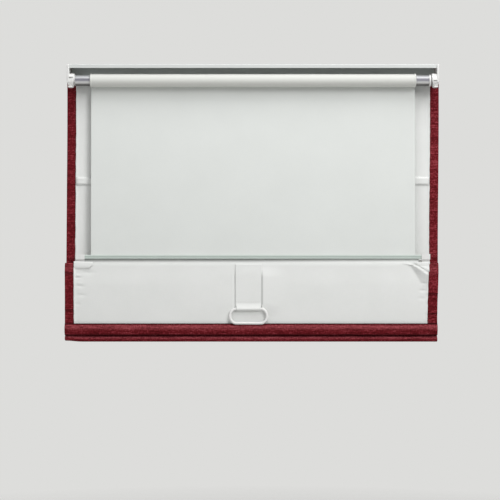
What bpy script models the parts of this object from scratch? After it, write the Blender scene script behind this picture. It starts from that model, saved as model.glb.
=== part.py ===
"""A cordless roman shade on a spring roller, seen from its window side, raised by one fold.

The frame: +X is to the right seen from the window side, +Y points into the room, +Z is up.
The origin is the middle of the headrail's top face, which is screwed up to the window head.
A cloth path is a list of (y, z) points from the headrail down; the lining lies on its window side.
"""

import math

import bmesh
import bpy
from mathutils import Matrix, Vector

# Clearances
GAP = 0.0003                # between pieces that rest on or in each other
RUNNING = 0.0004            # between a turning piece and what it turns in

# Headrail, a rolled channel that is open below
RAIL_LENGTH = 0.890
RAIL_DEPTH = 0.040
RAIL_WALL = 0.0015
RAIL_BACK_LIP = 0.009
RAIL_FRONT_FLANGE = 0.028
RAIL_BEND = 0.002
MOUNT_HOLE_RADIUS = 0.0026
MOUNT_HOLE_INSET = 0.043    # from the headrail's end to the first hole
MOUNT_HOLES = 4

# Moulded end brackets
BRACKET_PLATE = 0.006
BRACKET_FRONT = 0.018       # the plate's front edge, behind the headrail's front face
BRACKET_BACK = -0.0195
BRACKET_CORNER = 0.004
BOSS_LENGTH = 0.0115
BOSS_RADIUS = 0.0175
BOSS_RIM = 0.001            # the plate's round end stands this much outside the boss
BOSS_SIDES = 36
BRACKET_TAB = 0.018
TAB_THICKNESS = 0.003
TAB_WIDTH = 0.018
SLOT_HEIGHT = 0.0014
SLOT_DEPTH = 0.003
END_SCREW_RADIUS = 0.0015
END_SCREW_HEAD = 0.003
END_SCREW_INSET = 0.009     # from the headrail's end to the screw
MOULDED_EDGE = 0.0008

# Roller
ROLLER_Y = -0.005
ROLLER_Z = -0.038
TUBE_RADIUS = 0.013
TUBE_WALL = 0.0012
TUBE_GROOVE = 0.0016        # width of the groove that runs along the tube
TUBE_GROOVE_DEPTH = 0.0007
TUBE_GROOVE_ANGLE = math.radians(190.0)
TUBE_SIDES = 40
IDLER_FLANGE = 0.0013
END_FLANGE = 0.0038
END_FLANGE_RADIUS = 0.0145
END_FLANGE_GAP = 0.002      # seen as a dark line beside the right bracket
PLUG_LENGTH = 0.024
PIN_RADIUS = 0.0025
PIN_LENGTH = 0.067
SHAFT_SIDE = 0.006
SHAFT_LENGTH = 0.212
BRAKE_RADIUS = 0.009
BRAKE_LENGTH = 0.023
DRIVE_PLUG_LENGTH = 0.020
ANCHOR_RADIUS = 0.0100
ANCHOR_LENGTH = 0.016
ANCHOR_SPACE = 0.012        # from the end plug to the spring's anchor
SPRING_RADIUS = 0.0078
SPRING_WIRE = 0.0009
SPRING_LENGTH = 0.120
SPRING_TURNS = 15
SPRING_STEPS = 12           # points in a turn of the spring

# Lift band, wound on the tube and hanging to the lift bar
BAND_INSET = 0.0495         # from the headrail's end to the band's edge
BAND_THICKNESS = 0.0003
BAND_PITCH = 0.0006         # the roll grows by this much a turn
BAND_TURNS = 4
BAND_STEPS = 24             # points in a turn of the roll

# Lift bar and the end clips that join it to the lift rib
LIFT_BAR_RISE = 0.0257      # of the bar's top above the top of the skirt
LIFT_BAR_HEIGHT = 0.010
LIFT_BAR_DEPTH = 0.005
BAND_SLOT_DEPTH = 0.006
BAND_SLOT_WIDTH = 0.0011
CLIP_LENGTH = 0.0208
CLIP_HEM_GAP = 0.0005       # between a clip and the side hem
CLIP_END_WALL = 0.0022
CLIP_WALL = 0.0014
CLIP_WEB = 0.003
CLIP_EYE_WALL = 0.0011

# Cloth
CLOTH_OVERHANG = 0.010      # beyond the headrail's end, on each side
CLOTH_THICKNESS = 0.0007
CLOTH_TOP = -0.001
SIDE_HEM = 0.023
HEM_LAYER = 0.0016          # from the cloth to the hem turned behind it
LINING_HEM_GAP = 0.001      # between the lining's edge and the side hem
LINING_THICKNESS = 0.0005
LINING_LAYER = 0.0009       # from the cloth to the lining
LINING_TOP = -0.003
LINING_TUCK = 0.0075        # how far the lining goes under the bottom hem
FOLD_BOTTOM = -0.6735
FOLD_RADIUS = 0.008
SKIRT_RISE = 0.1863         # of the skirt's top above the bottom of the fold
SKIRT_RADIUS = 0.0035
HEM_RISE = 0.015            # of the hem's bottom above the bottom of the fold
HEM_HEIGHT = 0.0285
HEM_RADIUS = 0.0025
TURN_STEPS = 10

# Ribs, sewn into pockets of the lining
RIB_INSET = 0.006           # from the lining's edge to a rib's end
RIB_HEIGHT = 0.012
RIB_THICKNESS = 0.0025
UPPER_RIB_Z = -0.281
RIB_SPACING = 0.200
FOLD_RIB_RISE = 0.018       # of the fold rib above the bottom of the fold
POCKET_SLOPE = 0.002
LIFT_RIB_RADIUS = 0.0025
NOTCH_GAP = 0.0012          # between an end clip and the lining cut back for it
BOTTOM_BAR_HEIGHT = 0.012
BOTTOM_BAR_THICKNESS = 0.003
BOTTOM_BAR_INSET = 0.004    # from the side hem to the bar's end

# Touch fastening between the headrail and the cloth
TAPE_HEIGHT = 0.020
TAPE_THICKNESS = 0.0008
TAPE_INSET = 0.001          # from the lining's edge to the tape's end
TAPE_TOP = -0.003

# Pull strap and ring
STRAP_X = -0.011            # of the strap and the ring, sewn a little left of the shade's middle
STRAP_WIDTH = 0.064
STRAP_THICKNESS = 0.0007
STRAP_DROP = 0.0043         # of the strap's top below the top of the skirt
STRAP_TAIL = 0.020          # sewn back on itself above the ring
STRAP_PLY = 0.0012          # from one ply of the strap to the other
STRAP_WRAP = math.radians(32.0)  # how far past half a turn the strap follows the ring's bar
RING_WIDTH = 0.0965
RING_HEIGHT = 0.0415
RING_WIRE = 0.00325
RING_STRAIGHT = 0.060
RING_RISE = 0.040           # of the ring's top above the top of the bottom hem
RING_STEPS = 12             # points round each end of the ring

# Where things follow from those sizes
RAIL_HALF = RAIL_LENGTH / 2
CLOTH_HALF = RAIL_HALF + CLOTH_OVERHANG
HEM_INNER = CLOTH_HALF - SIDE_HEM
LINING_HALF = HEM_INNER - LINING_HEM_GAP
BAND_WIDTH = RAIL_LENGTH - 2 * BAND_INSET
CLIP_OUTER_END = HEM_INNER - CLIP_HEM_GAP
CLIP_INNER_END = CLIP_OUTER_END - CLIP_LENGTH
LIFT_BAR_HALF = CLIP_OUTER_END - CLIP_END_WALL - GAP
FRONT_FACE = RAIL_DEPTH / 2
FACE_Y = FRONT_FACE + 2 * TAPE_THICKNESS + 3 * GAP + LINING_THICKNESS / 2 + LINING_LAYER
BACK_Y = FACE_Y - 2 * FOLD_RADIUS
SKIRT_Y = BACK_Y - 2 * SKIRT_RADIUS
SKIRT_TOP = FOLD_BOTTOM + SKIRT_RISE
SKIRT_TURN_Y = SKIRT_Y + SKIRT_RADIUS
SKIRT_TURN_Z = SKIRT_TOP - SKIRT_RADIUS
HEM_BOTTOM = FOLD_BOTTOM + HEM_RISE
HEM_TOP = HEM_BOTTOM + HEM_HEIGHT
BOSS_FACE = RAIL_HALF - BOSS_LENGTH
LEFT_FLANGE = -BOSS_FACE + RUNNING
TUBE_LEFT = LEFT_FLANGE + IDLER_FLANGE + GAP
TUBE_RIGHT = BOSS_FACE - END_FLANGE_GAP - END_FLANGE - GAP
TUBE_BORE = TUBE_RADIUS - TUBE_WALL
PLUG_RADIUS = TUBE_BORE - GAP
SHAFT_RIGHT = RAIL_HALF + BRACKET_PLATE / 2
ROLL_RADIUS = TUBE_RADIUS + GAP + BAND_THICKNESS
LIFT_BAR_Y = SKIRT_TURN_Y
LIFT_BAR_TOP = SKIRT_TOP + LIFT_BAR_RISE
LIFT_RIB_Z = SKIRT_TURN_Z + SKIRT_RADIUS + HEM_LAYER + CLOTH_THICKNESS / 2 + GAP + LIFT_RIB_RADIUS
STRAP_Y = SKIRT_Y - LINING_LAYER - LINING_THICKNESS / 2 - GAP - STRAP_THICKNESS / 2
RING_LOOP = RING_WIRE + GAP + STRAP_THICKNESS / 2
RING_Y = STRAP_Y - RING_LOOP
RING_AXIS_Z = HEM_TOP + RING_RISE - RING_WIRE
RING_DROP = RING_HEIGHT - 2 * RING_WIRE
HEM_FRONT_Y = SKIRT_Y - 2 * HEM_RADIUS - CLOTH_THICKNESS / 2


def clear_scene():
    for obj in list(bpy.data.objects):
        bpy.data.objects.remove(obj)


def new_collection(name):
    made = bpy.data.collections.new(name)
    bpy.context.scene.collection.children.link(made)
    return made


def make_material(name, colour, roughness, metallic=0.0, transmission=0.0):
    made = bpy.data.materials.new(name)
    made.use_nodes = True
    shader = made.node_tree.nodes["Principled BSDF"]
    shader.inputs["Base Color"].default_value = (*colour, 1.0)
    shader.inputs["Roughness"].default_value = roughness
    shader.inputs["Metallic"].default_value = metallic
    shader.inputs["Transmission Weight"].default_value = transmission
    return made


def add_mesh(name, bm, material):
    """Turns a bmesh into an object of the shade, with its faces pointing out."""
    bmesh.ops.recalc_face_normals(bm, faces=bm.faces)
    mesh = bpy.data.meshes.new(name)
    bm.to_mesh(mesh)
    bm.free()
    obj = bpy.data.objects.new(name, mesh)
    obj.data.materials.append(material)
    SHADE.objects.link(obj)
    return obj


def as_cutter(obj):
    SHADE.objects.unlink(obj)
    CUTTERS.objects.link(obj)
    obj.hide_render = True
    obj.display_type = "WIRE"
    return obj


def combine(obj, other, operation):
    step = obj.modifiers.new(operation.title(), "BOOLEAN")
    step.operation = operation
    step.object = as_cutter(other)
    return obj


def soften(obj, width, segments=2):
    step = obj.modifiers.new("Bevel", "BEVEL")
    step.width = width
    step.segments = segments
    step.limit_method = "ANGLE"
    return obj


def block(name, low, high, material):
    """A box between two corners."""
    bm = bmesh.new()
    size = Vector(high) - Vector(low)
    middle = (Vector(high) + Vector(low)) / 2
    bmesh.ops.create_cube(bm, size=1.0, matrix=Matrix.Translation(middle) @ Matrix.Diagonal((*size, 1.0)))
    return add_mesh(name, bm, material)


def rod(name, start, end, radius, material, sides=24):
    """A round rod from one point to another."""
    start, end = Vector(start), Vector(end)
    turn = (end - start).to_track_quat("Z", "Y").to_matrix().to_4x4()
    bm = bmesh.new()
    bmesh.ops.create_cone(
        bm,
        cap_ends=True,
        segments=sides,
        radius1=radius,
        radius2=radius,
        depth=(end - start).length,
        matrix=Matrix.Translation((start + end) / 2) @ turn,
    )
    return add_mesh(name, bm, material)


def extruded(name, outline, low_x, high_x, material, hole=None):
    """A section drawn in (y, z), with one hole if there is one, run along X."""
    bm = bmesh.new()
    for loop in [outline] + ([hole] if hole else []):
        points = [bm.verts.new((low_x, y, z)) for y, z in loop]
        for first, second in zip(points, points[1:] + points[:1]):
            bm.edges.new((first, second))
    bmesh.ops.triangle_fill(bm, edges=bm.edges, use_beauty=True)
    grown = bmesh.ops.extrude_face_region(bm, geom=bm.faces)
    moved = [v for v in grown["geom"] if isinstance(v, bmesh.types.BMVert)]
    bmesh.ops.translate(bm, verts=moved, vec=(high_x - low_x, 0, 0))
    return add_mesh(name, bm, material)


def turned(name, profile, x, material, sides=32):
    """A ring turned about the roller's axis from a closed profile of (radius, along) points.

    The profile starts at its outer right end and runs left down its outer side."""
    mesh = bpy.data.meshes.new(name)
    count = len(profile)
    corners = [(radius, 0, along) for radius, along in profile]
    mesh.from_pydata(corners, [(i, (i + 1) % count) for i in range(count)], [])
    obj = bpy.data.objects.new(name, mesh)
    obj.data.materials.append(material)
    SHADE.objects.link(obj)
    obj.location = (x, ROLLER_Y, ROLLER_Z)
    obj.rotation_euler = (0, math.pi / 2, 0)
    screw = obj.modifiers.new("Screw", "SCREW")
    screw.steps = sides
    screw.render_steps = sides
    screw.use_merge_vertices = True
    screw.merge_threshold = 0.00001
    return obj


def collar(name, radius, bore, left, right, material):
    """A plain turned ring between two places on the roller's axis."""
    profile = [(radius, right - left), (radius, 0), (bore, 0), (bore, right - left)]
    return turned(name, profile, left, material)


def arc(centre, radius, start, end, steps):
    """Points on an arc in (y, z), both ends included."""
    return [
        (
            centre[0] + radius * math.cos(start + (end - start) * i / steps),
            centre[1] + radius * math.sin(start + (end - start) * i / steps),
        )
        for i in range(steps + 1)
    ]


def circle(centre, radius, sides):
    return arc(centre, radius, 0, 2 * math.pi, sides)[:-1]


def cloth_sheet(name, rows, thickness, material):
    """A sheet through rows of points, given its thickness on both sides of them."""
    bm = bmesh.new()
    grid = [[bm.verts.new(point) for point in row] for row in rows]
    for upper, lower in zip(grid, grid[1:]):
        for i in range(len(upper) - 1):
            bm.faces.new((upper[i], upper[i + 1], lower[i + 1], lower[i]))
    obj = add_mesh(name, bm, material)
    step = obj.modifiers.new("Solidify", "SOLIDIFY")
    step.thickness = thickness
    step.offset = 0
    step.use_even_offset = True
    return obj


def ribbon(name, path, width, thickness, material, middle_x=0):
    """A band of one width along a path of (y, z) points."""
    rows = [[(middle_x - width / 2, y, z), (middle_x + width / 2, y, z)] for y, z in path]
    return cloth_sheet(name, rows, thickness, material)


def cloth_path(depth):
    """The face cloth's path, or that of a layer lying this deep on its lining side."""
    fold = (FACE_Y - FOLD_RADIUS, FOLD_BOTTOM + FOLD_RADIUS)
    skirt = (SKIRT_TURN_Y, SKIRT_TURN_Z)
    hem = (SKIRT_Y - HEM_RADIUS, HEM_BOTTOM + HEM_RADIUS)
    path = [(FACE_Y - depth, CLOTH_TOP)]
    path += arc(fold, FOLD_RADIUS - depth, 0, -math.pi, TURN_STEPS)
    path += arc(skirt, SKIRT_RADIUS + depth, 0, math.pi, TURN_STEPS)
    path += arc(hem, HEM_RADIUS - depth, 0, -math.pi, TURN_STEPS)
    path.append((SKIRT_Y - 2 * HEM_RADIUS + depth, HEM_TOP))
    return path


def make_face_cloth():
    turn = HEM_LAYER / 2
    layers = [cloth_path(0), cloth_path(turn), cloth_path(HEM_LAYER)]
    columns = [(HEM_INNER, 2), (CLOTH_HALF - turn, 2), (CLOTH_HALF, 1), (CLOTH_HALF - turn, 0)]
    columns = [(-x, layer) for x, layer in columns] + [(x, layer) for x, layer in reversed(columns)]
    rows = [[(x, *layers[layer][i]) for x, layer in columns] for i in range(len(layers[0]))]
    return cloth_sheet("face_cloth", rows, CLOTH_THICKNESS, RED_LINEN)


def rib_face_y():
    """The room side of a rib that lies against the back of the face cloth."""
    return FACE_Y - CLOTH_THICKNESS / 2 - GAP


def pocket(z):
    """The lining's path round a flat rib at this height, from its top down."""
    plain = FACE_Y - LINING_LAYER
    proud = rib_face_y() - RIB_THICKNESS - GAP - LINING_THICKNESS / 2
    inner = RIB_HEIGHT / 2 + 2 * GAP
    outer = inner + POCKET_SLOPE
    return [(plain, z + outer), (proud, z + inner), (proud, z - inner), (plain, z - outer)]


def lining_hood():
    """The lining's path over the lift rib, from the fold's side to the window side."""
    wide = SKIRT_RADIUS + LINING_LAYER
    tall = LIFT_RIB_Z + LIFT_RIB_RADIUS + GAP + LINING_THICKNESS / 2 - SKIRT_TURN_Z
    fullness = 2 / 2.5      # a squarer curve than an ellipse, which clears the round rib
    path = []
    for y, z in arc((0, 0), 1, 0, math.pi, 2 * TURN_STEPS):
        path.append((
            SKIRT_TURN_Y + wide * math.copysign(abs(y) ** fullness, y),
            SKIRT_TURN_Z + tall * max(z, 0) ** fullness,
        ))
    return path


def make_lining():
    half = LINING_HALF
    notched = CLIP_INNER_END - NOTCH_GAP
    below_hood = SKIRT_TURN_Z - RIB_HEIGHT
    fold = (FACE_Y - FOLD_RADIUS, FOLD_BOTTOM + FOLD_RADIUS)
    front = [(FACE_Y - LINING_LAYER, LINING_TOP)]
    for z in (UPPER_RIB_Z, UPPER_RIB_Z - RIB_SPACING, FOLD_BOTTOM + FOLD_RIB_RISE):
        front += pocket(z)
    front += arc(fold, FOLD_RADIUS - LINING_LAYER, 0, -math.pi, TURN_STEPS)
    front.append((BACK_Y + LINING_LAYER, below_hood))
    skirt = [
        (SKIRT_Y - LINING_LAYER, below_hood),
        (SKIRT_Y - LINING_LAYER, HEM_TOP - LINING_TUCK),
    ]
    rows = [[(-half, y, z), (half, y, z)] for y, z in front]
    rows += [[(-notched, y, z), (notched, y, z)] for y, z in lining_hood()]
    rows += [[(-half, y, z), (half, y, z)] for y, z in skirt]
    return cloth_sheet("lining", rows, LINING_THICKNESS, WHITE_LINING)


def make_flat_rib(name, z):
    front = rib_face_y()
    end = LINING_HALF - RIB_INSET
    low = (-end, front - RIB_THICKNESS, z - RIB_HEIGHT / 2)
    high = (end, front, z + RIB_HEIGHT / 2)
    return soften(block(name, low, high, CLEAR_RIB), RIB_THICKNESS / 4)


def make_ribs():
    make_flat_rib("upper_rib", UPPER_RIB_Z)
    make_flat_rib("middle_rib", UPPER_RIB_Z - RIB_SPACING)
    make_flat_rib("fold_rib", FOLD_BOTTOM + FOLD_RIB_RISE)
    left_end = (-LINING_HALF, LIFT_BAR_Y, LIFT_RIB_Z)
    right_end = (LINING_HALF, LIFT_BAR_Y, LIFT_RIB_Z)
    rod("lift_rib", left_end, right_end, LIFT_RIB_RADIUS, CLEAR_RIB)


def make_bottom_bar():
    middle = SKIRT_Y - HEM_RADIUS
    low_z = HEM_BOTTOM + HEM_RADIUS
    end = HEM_INNER - BOTTOM_BAR_INSET
    low = (-end, middle - BOTTOM_BAR_THICKNESS / 2, low_z)
    high = (end, middle + BOTTOM_BAR_THICKNESS / 2, low_z + BOTTOM_BAR_HEIGHT)
    soften(block("bottom_bar", low, high, STEEL), BOTTOM_BAR_THICKNESS / 5)


def make_headrail():
    half = RAIL_DEPTH / 2
    wall = RAIL_WALL
    bend = RAIL_BEND
    outline = [(-half, -RAIL_BACK_LIP)]
    outline += arc((-half + bend, -bend), bend, math.pi, math.pi / 2, 4)
    outline += arc((half - bend, -bend), bend, math.pi / 2, 0, 4)
    outline += [(half, -RAIL_FRONT_FLANGE), (half - wall, -RAIL_FRONT_FLANGE)]
    outline += [(half - wall, -wall), (-half + wall, -wall)]
    outline += [(-half + wall, -RAIL_BACK_LIP)]
    rail = extruded("headrail", outline, -RAIL_HALF, RAIL_HALF, RAIL_PAINT)
    above, below = wall, -3 * wall
    first = -RAIL_HALF + MOUNT_HOLE_INSET
    for i in range(MOUNT_HOLES):
        place = first - 2 * first * i / (MOUNT_HOLES - 1)
        hole = rod("mount_hole", (place, 0, below), (place, 0, above), MOUNT_HOLE_RADIUS, STEEL)
        combine(rail, hole, "DIFFERENCE")
    for side in (-1, 1):
        place = side * (RAIL_HALF - END_SCREW_INSET)
        hole = rod("end_screw_hole", (place, 0, below), (place, 0, above), END_SCREW_RADIUS + GAP, STEEL)
        combine(rail, hole, "DIFFERENCE")
    return rail


def make_tapes():
    hook_y = FRONT_FACE + GAP
    loop_y = hook_y + TAPE_THICKNESS + GAP
    end = LINING_HALF - TAPE_INSET
    for name, y in (("hook_tape", hook_y), ("loop_tape", loop_y)):
        low = (-end, y, TAPE_TOP - TAPE_HEIGHT)
        high = (end, y + TAPE_THICKNESS, TAPE_TOP)
        block(name, low, high, WHITE_LINING)


def bracket_outline():
    """The plate in (y, z): square at the headrail's top, round under the roller."""
    axis = (ROLLER_Y, ROLLER_Z)
    corner = BRACKET_CORNER
    outline = arc((BRACKET_BACK + corner, -GAP - corner), corner, math.pi, math.pi / 2, 4)
    outline += [(BRACKET_FRONT, -GAP), (BRACKET_FRONT, ROLLER_Z + BOSS_RADIUS / 2)]
    outline += arc(axis, BOSS_RADIUS + BOSS_RIM, 0, -math.pi, BOSS_SIDES // 2)
    return outline


def make_bracket(name, side, socket):
    """An end bracket: a plate beside the headrail, a round boss that carries the roller, a tab."""
    def across(a, b, low, high):
        ends = sorted((side * a, side * b))
        return (ends[0], *low), (ends[1], *high)

    inner = RAIL_HALF + GAP
    outer = inner + BRACKET_PLATE
    plate_ends = sorted((side * inner, side * outer))
    body = extruded(name, bracket_outline(), *plate_ends, WHITE_MOULDING)
    boss = rod(
        "bracket_boss",
        (side * BOSS_FACE, ROLLER_Y, ROLLER_Z),
        (side * (outer - GAP), ROLLER_Y, ROLLER_Z),
        BOSS_RADIUS,
        WHITE_MOULDING,
        BOSS_SIDES,
    )
    tab_top = -RAIL_WALL - GAP
    tab = block(
        "bracket_tab",
        *across(
            RAIL_HALF - BRACKET_TAB,
            outer - GAP,
            (-TAB_WIDTH / 2, tab_top - TAB_THICKNESS),
            (TAB_WIDTH / 2, tab_top),
        ),
        WHITE_MOULDING,
    )
    combine(body, boss, "UNION")
    combine(body, tab, "UNION")
    boss_back = ROLLER_Y - BOSS_RADIUS
    slot = block(
        "bracket_slot",
        *across(
            BOSS_FACE + 3 * MOULDED_EDGE,
            RAIL_HALF - 2 * MOULDED_EDGE,
            (boss_back - SLOT_DEPTH, ROLLER_Z + SLOT_HEIGHT),
            (boss_back + SLOT_DEPTH, ROLLER_Z + 2 * SLOT_HEIGHT),
        ),
        STEEL,
    )
    combine(body, slot, "DIFFERENCE")
    place = side * (RAIL_HALF - END_SCREW_INSET)
    screw_low = tab_top - 2 * TAB_THICKNESS
    hole = rod("tab_hole", (place, 0, screw_low), (place, 0, 0), END_SCREW_RADIUS + GAP, STEEL)
    combine(body, hole, "DIFFERENCE")
    combine(body, socket, "DIFFERENCE")
    return soften(body, MOULDED_EDGE)


def make_end_screw(name, side):
    place = side * (RAIL_HALF - END_SCREW_INSET)
    seat = -RAIL_WALL - 2 * GAP - TAB_THICKNESS
    head = rod(name, (place, 0, seat - END_SCREW_HEAD / 2), (place, 0, seat), END_SCREW_HEAD, STEEL)
    shank = rod("screw_shank", (place, 0, seat - GAP), (place, 0, -GAP), END_SCREW_RADIUS, STEEL)
    combine(head, shank, "UNION")
    return head


def square(side):
    half = side / 2
    return [
        (ROLLER_Y - half, ROLLER_Z - half),
        (ROLLER_Y + half, ROLLER_Z - half),
        (ROLLER_Y + half, ROLLER_Z + half),
        (ROLLER_Y - half, ROLLER_Z + half),
    ]


def make_brackets():
    axis_in = -BOSS_FACE + MOULDED_EDGE
    pin_end = -SHAFT_RIGHT - GAP
    bore = rod(
        "pin_bore",
        (pin_end, ROLLER_Y, ROLLER_Z),
        (axis_in, ROLLER_Y, ROLLER_Z),
        PIN_RADIUS + GAP,
        STEEL,
    )
    make_bracket("end_bracket_left", -1, bore)
    socket = extruded("shaft_socket", square(SHAFT_SIDE + 2 * GAP), -axis_in, SHAFT_RIGHT + GAP, STEEL)
    make_bracket("end_bracket_right", 1, socket)
    make_end_screw("end_screw_left", -1)
    make_end_screw("end_screw_right", 1)


def make_tube():
    """The tube's section has one narrow groove that runs its whole length."""
    centre = (ROLLER_Y, ROLLER_Z)
    half_groove = TUBE_GROOVE / 2 / TUBE_RADIUS
    start = TUBE_GROOVE_ANGLE + half_groove
    end = TUBE_GROOVE_ANGLE - half_groove + 2 * math.pi
    outline = arc(centre, TUBE_RADIUS, start, end, TUBE_SIDES)
    outline += arc(centre, TUBE_RADIUS - TUBE_GROOVE_DEPTH, end, start + 2 * math.pi, 2)
    bore = circle(centre, TUBE_BORE, TUBE_SIDES)
    extruded("roller_tube", outline, TUBE_LEFT, TUBE_RIGHT, ALUMINIUM, bore)


def flanged_plug(name, flange_radius, flange, inner_end, outer_end, bore, material):
    """A plug in the tube's end, whose flange stands outside it. The right plug's ends are positive."""
    step = flange + GAP
    if outer_end > inner_end:
        length = outer_end - inner_end
        profile = [
            (flange_radius, length),
            (flange_radius, length - flange),
            (PLUG_RADIUS, length - step),
            (PLUG_RADIUS, 0),
            (bore, 0),
            (bore, length),
        ]
        return turned(name, profile, inner_end, material)
    length = inner_end - outer_end
    profile = [
        (PLUG_RADIUS, length),
        (PLUG_RADIUS, step),
        (flange_radius, flange),
        (flange_radius, 0),
        (bore, 0),
        (bore, length),
    ]
    return turned(name, profile, outer_end, material)


def make_roller_ends():
    pin_left = -SHAFT_RIGHT
    pin_right = pin_left + PIN_LENGTH
    rod("idler_pin", (pin_left, ROLLER_Y, ROLLER_Z), (pin_right, ROLLER_Y, ROLLER_Z), PIN_RADIUS, STEEL)
    plug_inner = TUBE_LEFT + PLUG_LENGTH
    flanged_plug(
        "idler_plug", TUBE_RADIUS, IDLER_FLANGE, plug_inner, LEFT_FLANGE, PIN_RADIUS + GAP, WHITE_MOULDING
    )
    brake_left = plug_inner + RUNNING
    brake_right = brake_left + BRAKE_LENGTH
    collar("brake_hub", BRAKE_RADIUS, PIN_RADIUS + GAP, brake_left, brake_right, GREY_MOULDING)
    collar("brake_sleeve", PLUG_RADIUS, BRAKE_RADIUS + GAP, brake_left, brake_right, GREY_MOULDING)


def make_spring_drive():
    shaft_left = SHAFT_RIGHT - SHAFT_LENGTH
    extruded("spring_shaft", square(SHAFT_SIDE), shaft_left, SHAFT_RIGHT, STEEL)
    corner = SHAFT_SIDE / math.sqrt(2)
    plug_inner = TUBE_RIGHT - PLUG_LENGTH
    plug_outer = BOSS_FACE - END_FLANGE_GAP
    flanged_plug(
        "roller_end_plug",
        END_FLANGE_RADIUS,
        END_FLANGE,
        plug_inner,
        plug_outer,
        corner + GAP,
        WHITE_MOULDING,
    )
    anchor_right = plug_inner - ANCHOR_SPACE
    anchor_left = anchor_right - ANCHOR_LENGTH
    extruded(
        "spring_anchor",
        circle((ROLLER_Y, ROLLER_Z), ANCHOR_RADIUS, 32),
        anchor_left,
        anchor_right,
        GREY_MOULDING,
        square(SHAFT_SIDE + 2 * GAP),
    )
    drive_right = anchor_left - SPRING_LENGTH - 2 * GAP
    drive_left = drive_right - DRIVE_PLUG_LENGTH
    collar("drive_plug", PLUG_RADIUS, corner + GAP, drive_left, drive_right, GREY_MOULDING)
    make_spring(drive_right + GAP + SPRING_WIRE, anchor_left - GAP - SPRING_WIRE)


def make_spring(left, right):
    data = bpy.data.curves.new("torsion_spring", "CURVE")
    data.dimensions = "3D"
    data.bevel_depth = SPRING_WIRE
    data.bevel_resolution = 2
    data.use_fill_caps = True
    coil = data.splines.new("POLY")
    count = SPRING_TURNS * SPRING_STEPS
    coil.points.add(count)
    for i in range(count + 1):
        angle = 2 * math.pi * i / SPRING_STEPS
        along = left + (right - left) * i / count
        coil.points[i].co = (along, SPRING_RADIUS * math.cos(angle), SPRING_RADIUS * math.sin(angle), 1)
    data.materials.append(STEEL)
    spring = bpy.data.objects.new("torsion_spring", data)
    spring.location = (0, ROLLER_Y, ROLLER_Z)
    SHADE.objects.link(spring)


def make_lift_band():
    """Wound from the tube outwards, then hanging from the roll's room side into the lift bar."""
    path = []
    count = BAND_TURNS * BAND_STEPS
    for i in range(count + 1):
        angle = 2 * math.pi * (count - i) / BAND_STEPS
        radius = ROLL_RADIUS + BAND_PITCH * i / BAND_STEPS
        path.append((ROLLER_Y + radius * math.cos(angle), ROLLER_Z + radius * math.sin(angle)))
    path.append((LIFT_BAR_Y, LIFT_BAR_TOP + GAP))
    path.append((LIFT_BAR_Y, LIFT_BAR_TOP - BAND_SLOT_DEPTH + GAP))
    ribbon("lift_band", path, BAND_WIDTH, BAND_THICKNESS, WHITE_BAND)


def make_lift_bar():
    half = LIFT_BAR_DEPTH / 2
    slot = BAND_SLOT_WIDTH / 2
    bottom = LIFT_BAR_TOP - LIFT_BAR_HEIGHT
    slot_bottom = LIFT_BAR_TOP - BAND_SLOT_DEPTH
    corner = LIFT_BAR_DEPTH / 5
    outline = [(LIFT_BAR_Y - slot, LIFT_BAR_TOP), (LIFT_BAR_Y - half, LIFT_BAR_TOP)]
    outline += arc((LIFT_BAR_Y - half + corner, bottom + corner), corner, math.pi, 1.5 * math.pi, 4)
    outline += arc((LIFT_BAR_Y + half - corner, bottom + corner), corner, 1.5 * math.pi, 2 * math.pi, 4)
    outline += [(LIFT_BAR_Y + half, LIFT_BAR_TOP), (LIFT_BAR_Y + slot, LIFT_BAR_TOP)]
    outline += [(LIFT_BAR_Y + slot, slot_bottom), (LIFT_BAR_Y - slot, slot_bottom)]
    extruded("lift_bar", outline, -LIFT_BAR_HALF, LIFT_BAR_HALF, CLEAR_ACRYLIC)


def make_end_clip(name, side):
    """A moulded clip: a socket for the lift bar's end over an eye for the lift rib's end."""
    ends = sorted((side * CLIP_INNER_END, side * CLIP_OUTER_END))
    room = GAP + CLIP_WALL
    half = LIFT_BAR_DEPTH / 2 + room
    low_z = LIFT_BAR_TOP - LIFT_BAR_HEIGHT - room
    body = block(
        name,
        (ends[0], LIFT_BAR_Y - half, low_z),
        (ends[1], LIFT_BAR_Y + half, LIFT_BAR_TOP + room),
        WHITE_MOULDING,
    )
    eye = rod(
        "clip_eye",
        (ends[0] + MOULDED_EDGE, LIFT_BAR_Y, LIFT_RIB_Z),
        (ends[1] - MOULDED_EDGE, LIFT_BAR_Y, LIFT_RIB_Z),
        LIFT_RIB_RADIUS + GAP + CLIP_EYE_WALL,
        WHITE_MOULDING,
    )
    web = block(
        "clip_web",
        (ends[0] + MOULDED_EDGE, LIFT_BAR_Y - CLIP_WEB / 2, LIFT_RIB_Z),
        (ends[1] - MOULDED_EDGE, LIFT_BAR_Y + CLIP_WEB / 2, low_z + CLIP_WALL / 2),
        WHITE_MOULDING,
    )
    combine(body, eye, "UNION")
    combine(body, web, "UNION")
    bar_end = LIFT_BAR_HALF + GAP
    bar_ends = sorted((side * (CLIP_INNER_END - CLIP_WALL), side * bar_end))
    socket = block(
        "clip_socket",
        (bar_ends[0], LIFT_BAR_Y - LIFT_BAR_DEPTH / 2 - GAP, LIFT_BAR_TOP - LIFT_BAR_HEIGHT - GAP),
        (bar_ends[1], LIFT_BAR_Y + LIFT_BAR_DEPTH / 2 + GAP, LIFT_BAR_TOP + GAP),
        STEEL,
    )
    combine(body, socket, "DIFFERENCE")
    through = rod(
        "clip_bore",
        (ends[0] - CLIP_WALL, LIFT_BAR_Y, LIFT_RIB_Z),
        (ends[1] + CLIP_WALL, LIFT_BAR_Y, LIFT_RIB_Z),
        LIFT_RIB_RADIUS + GAP,
        STEEL,
    )
    combine(body, through, "DIFFERENCE")
    return body


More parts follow.
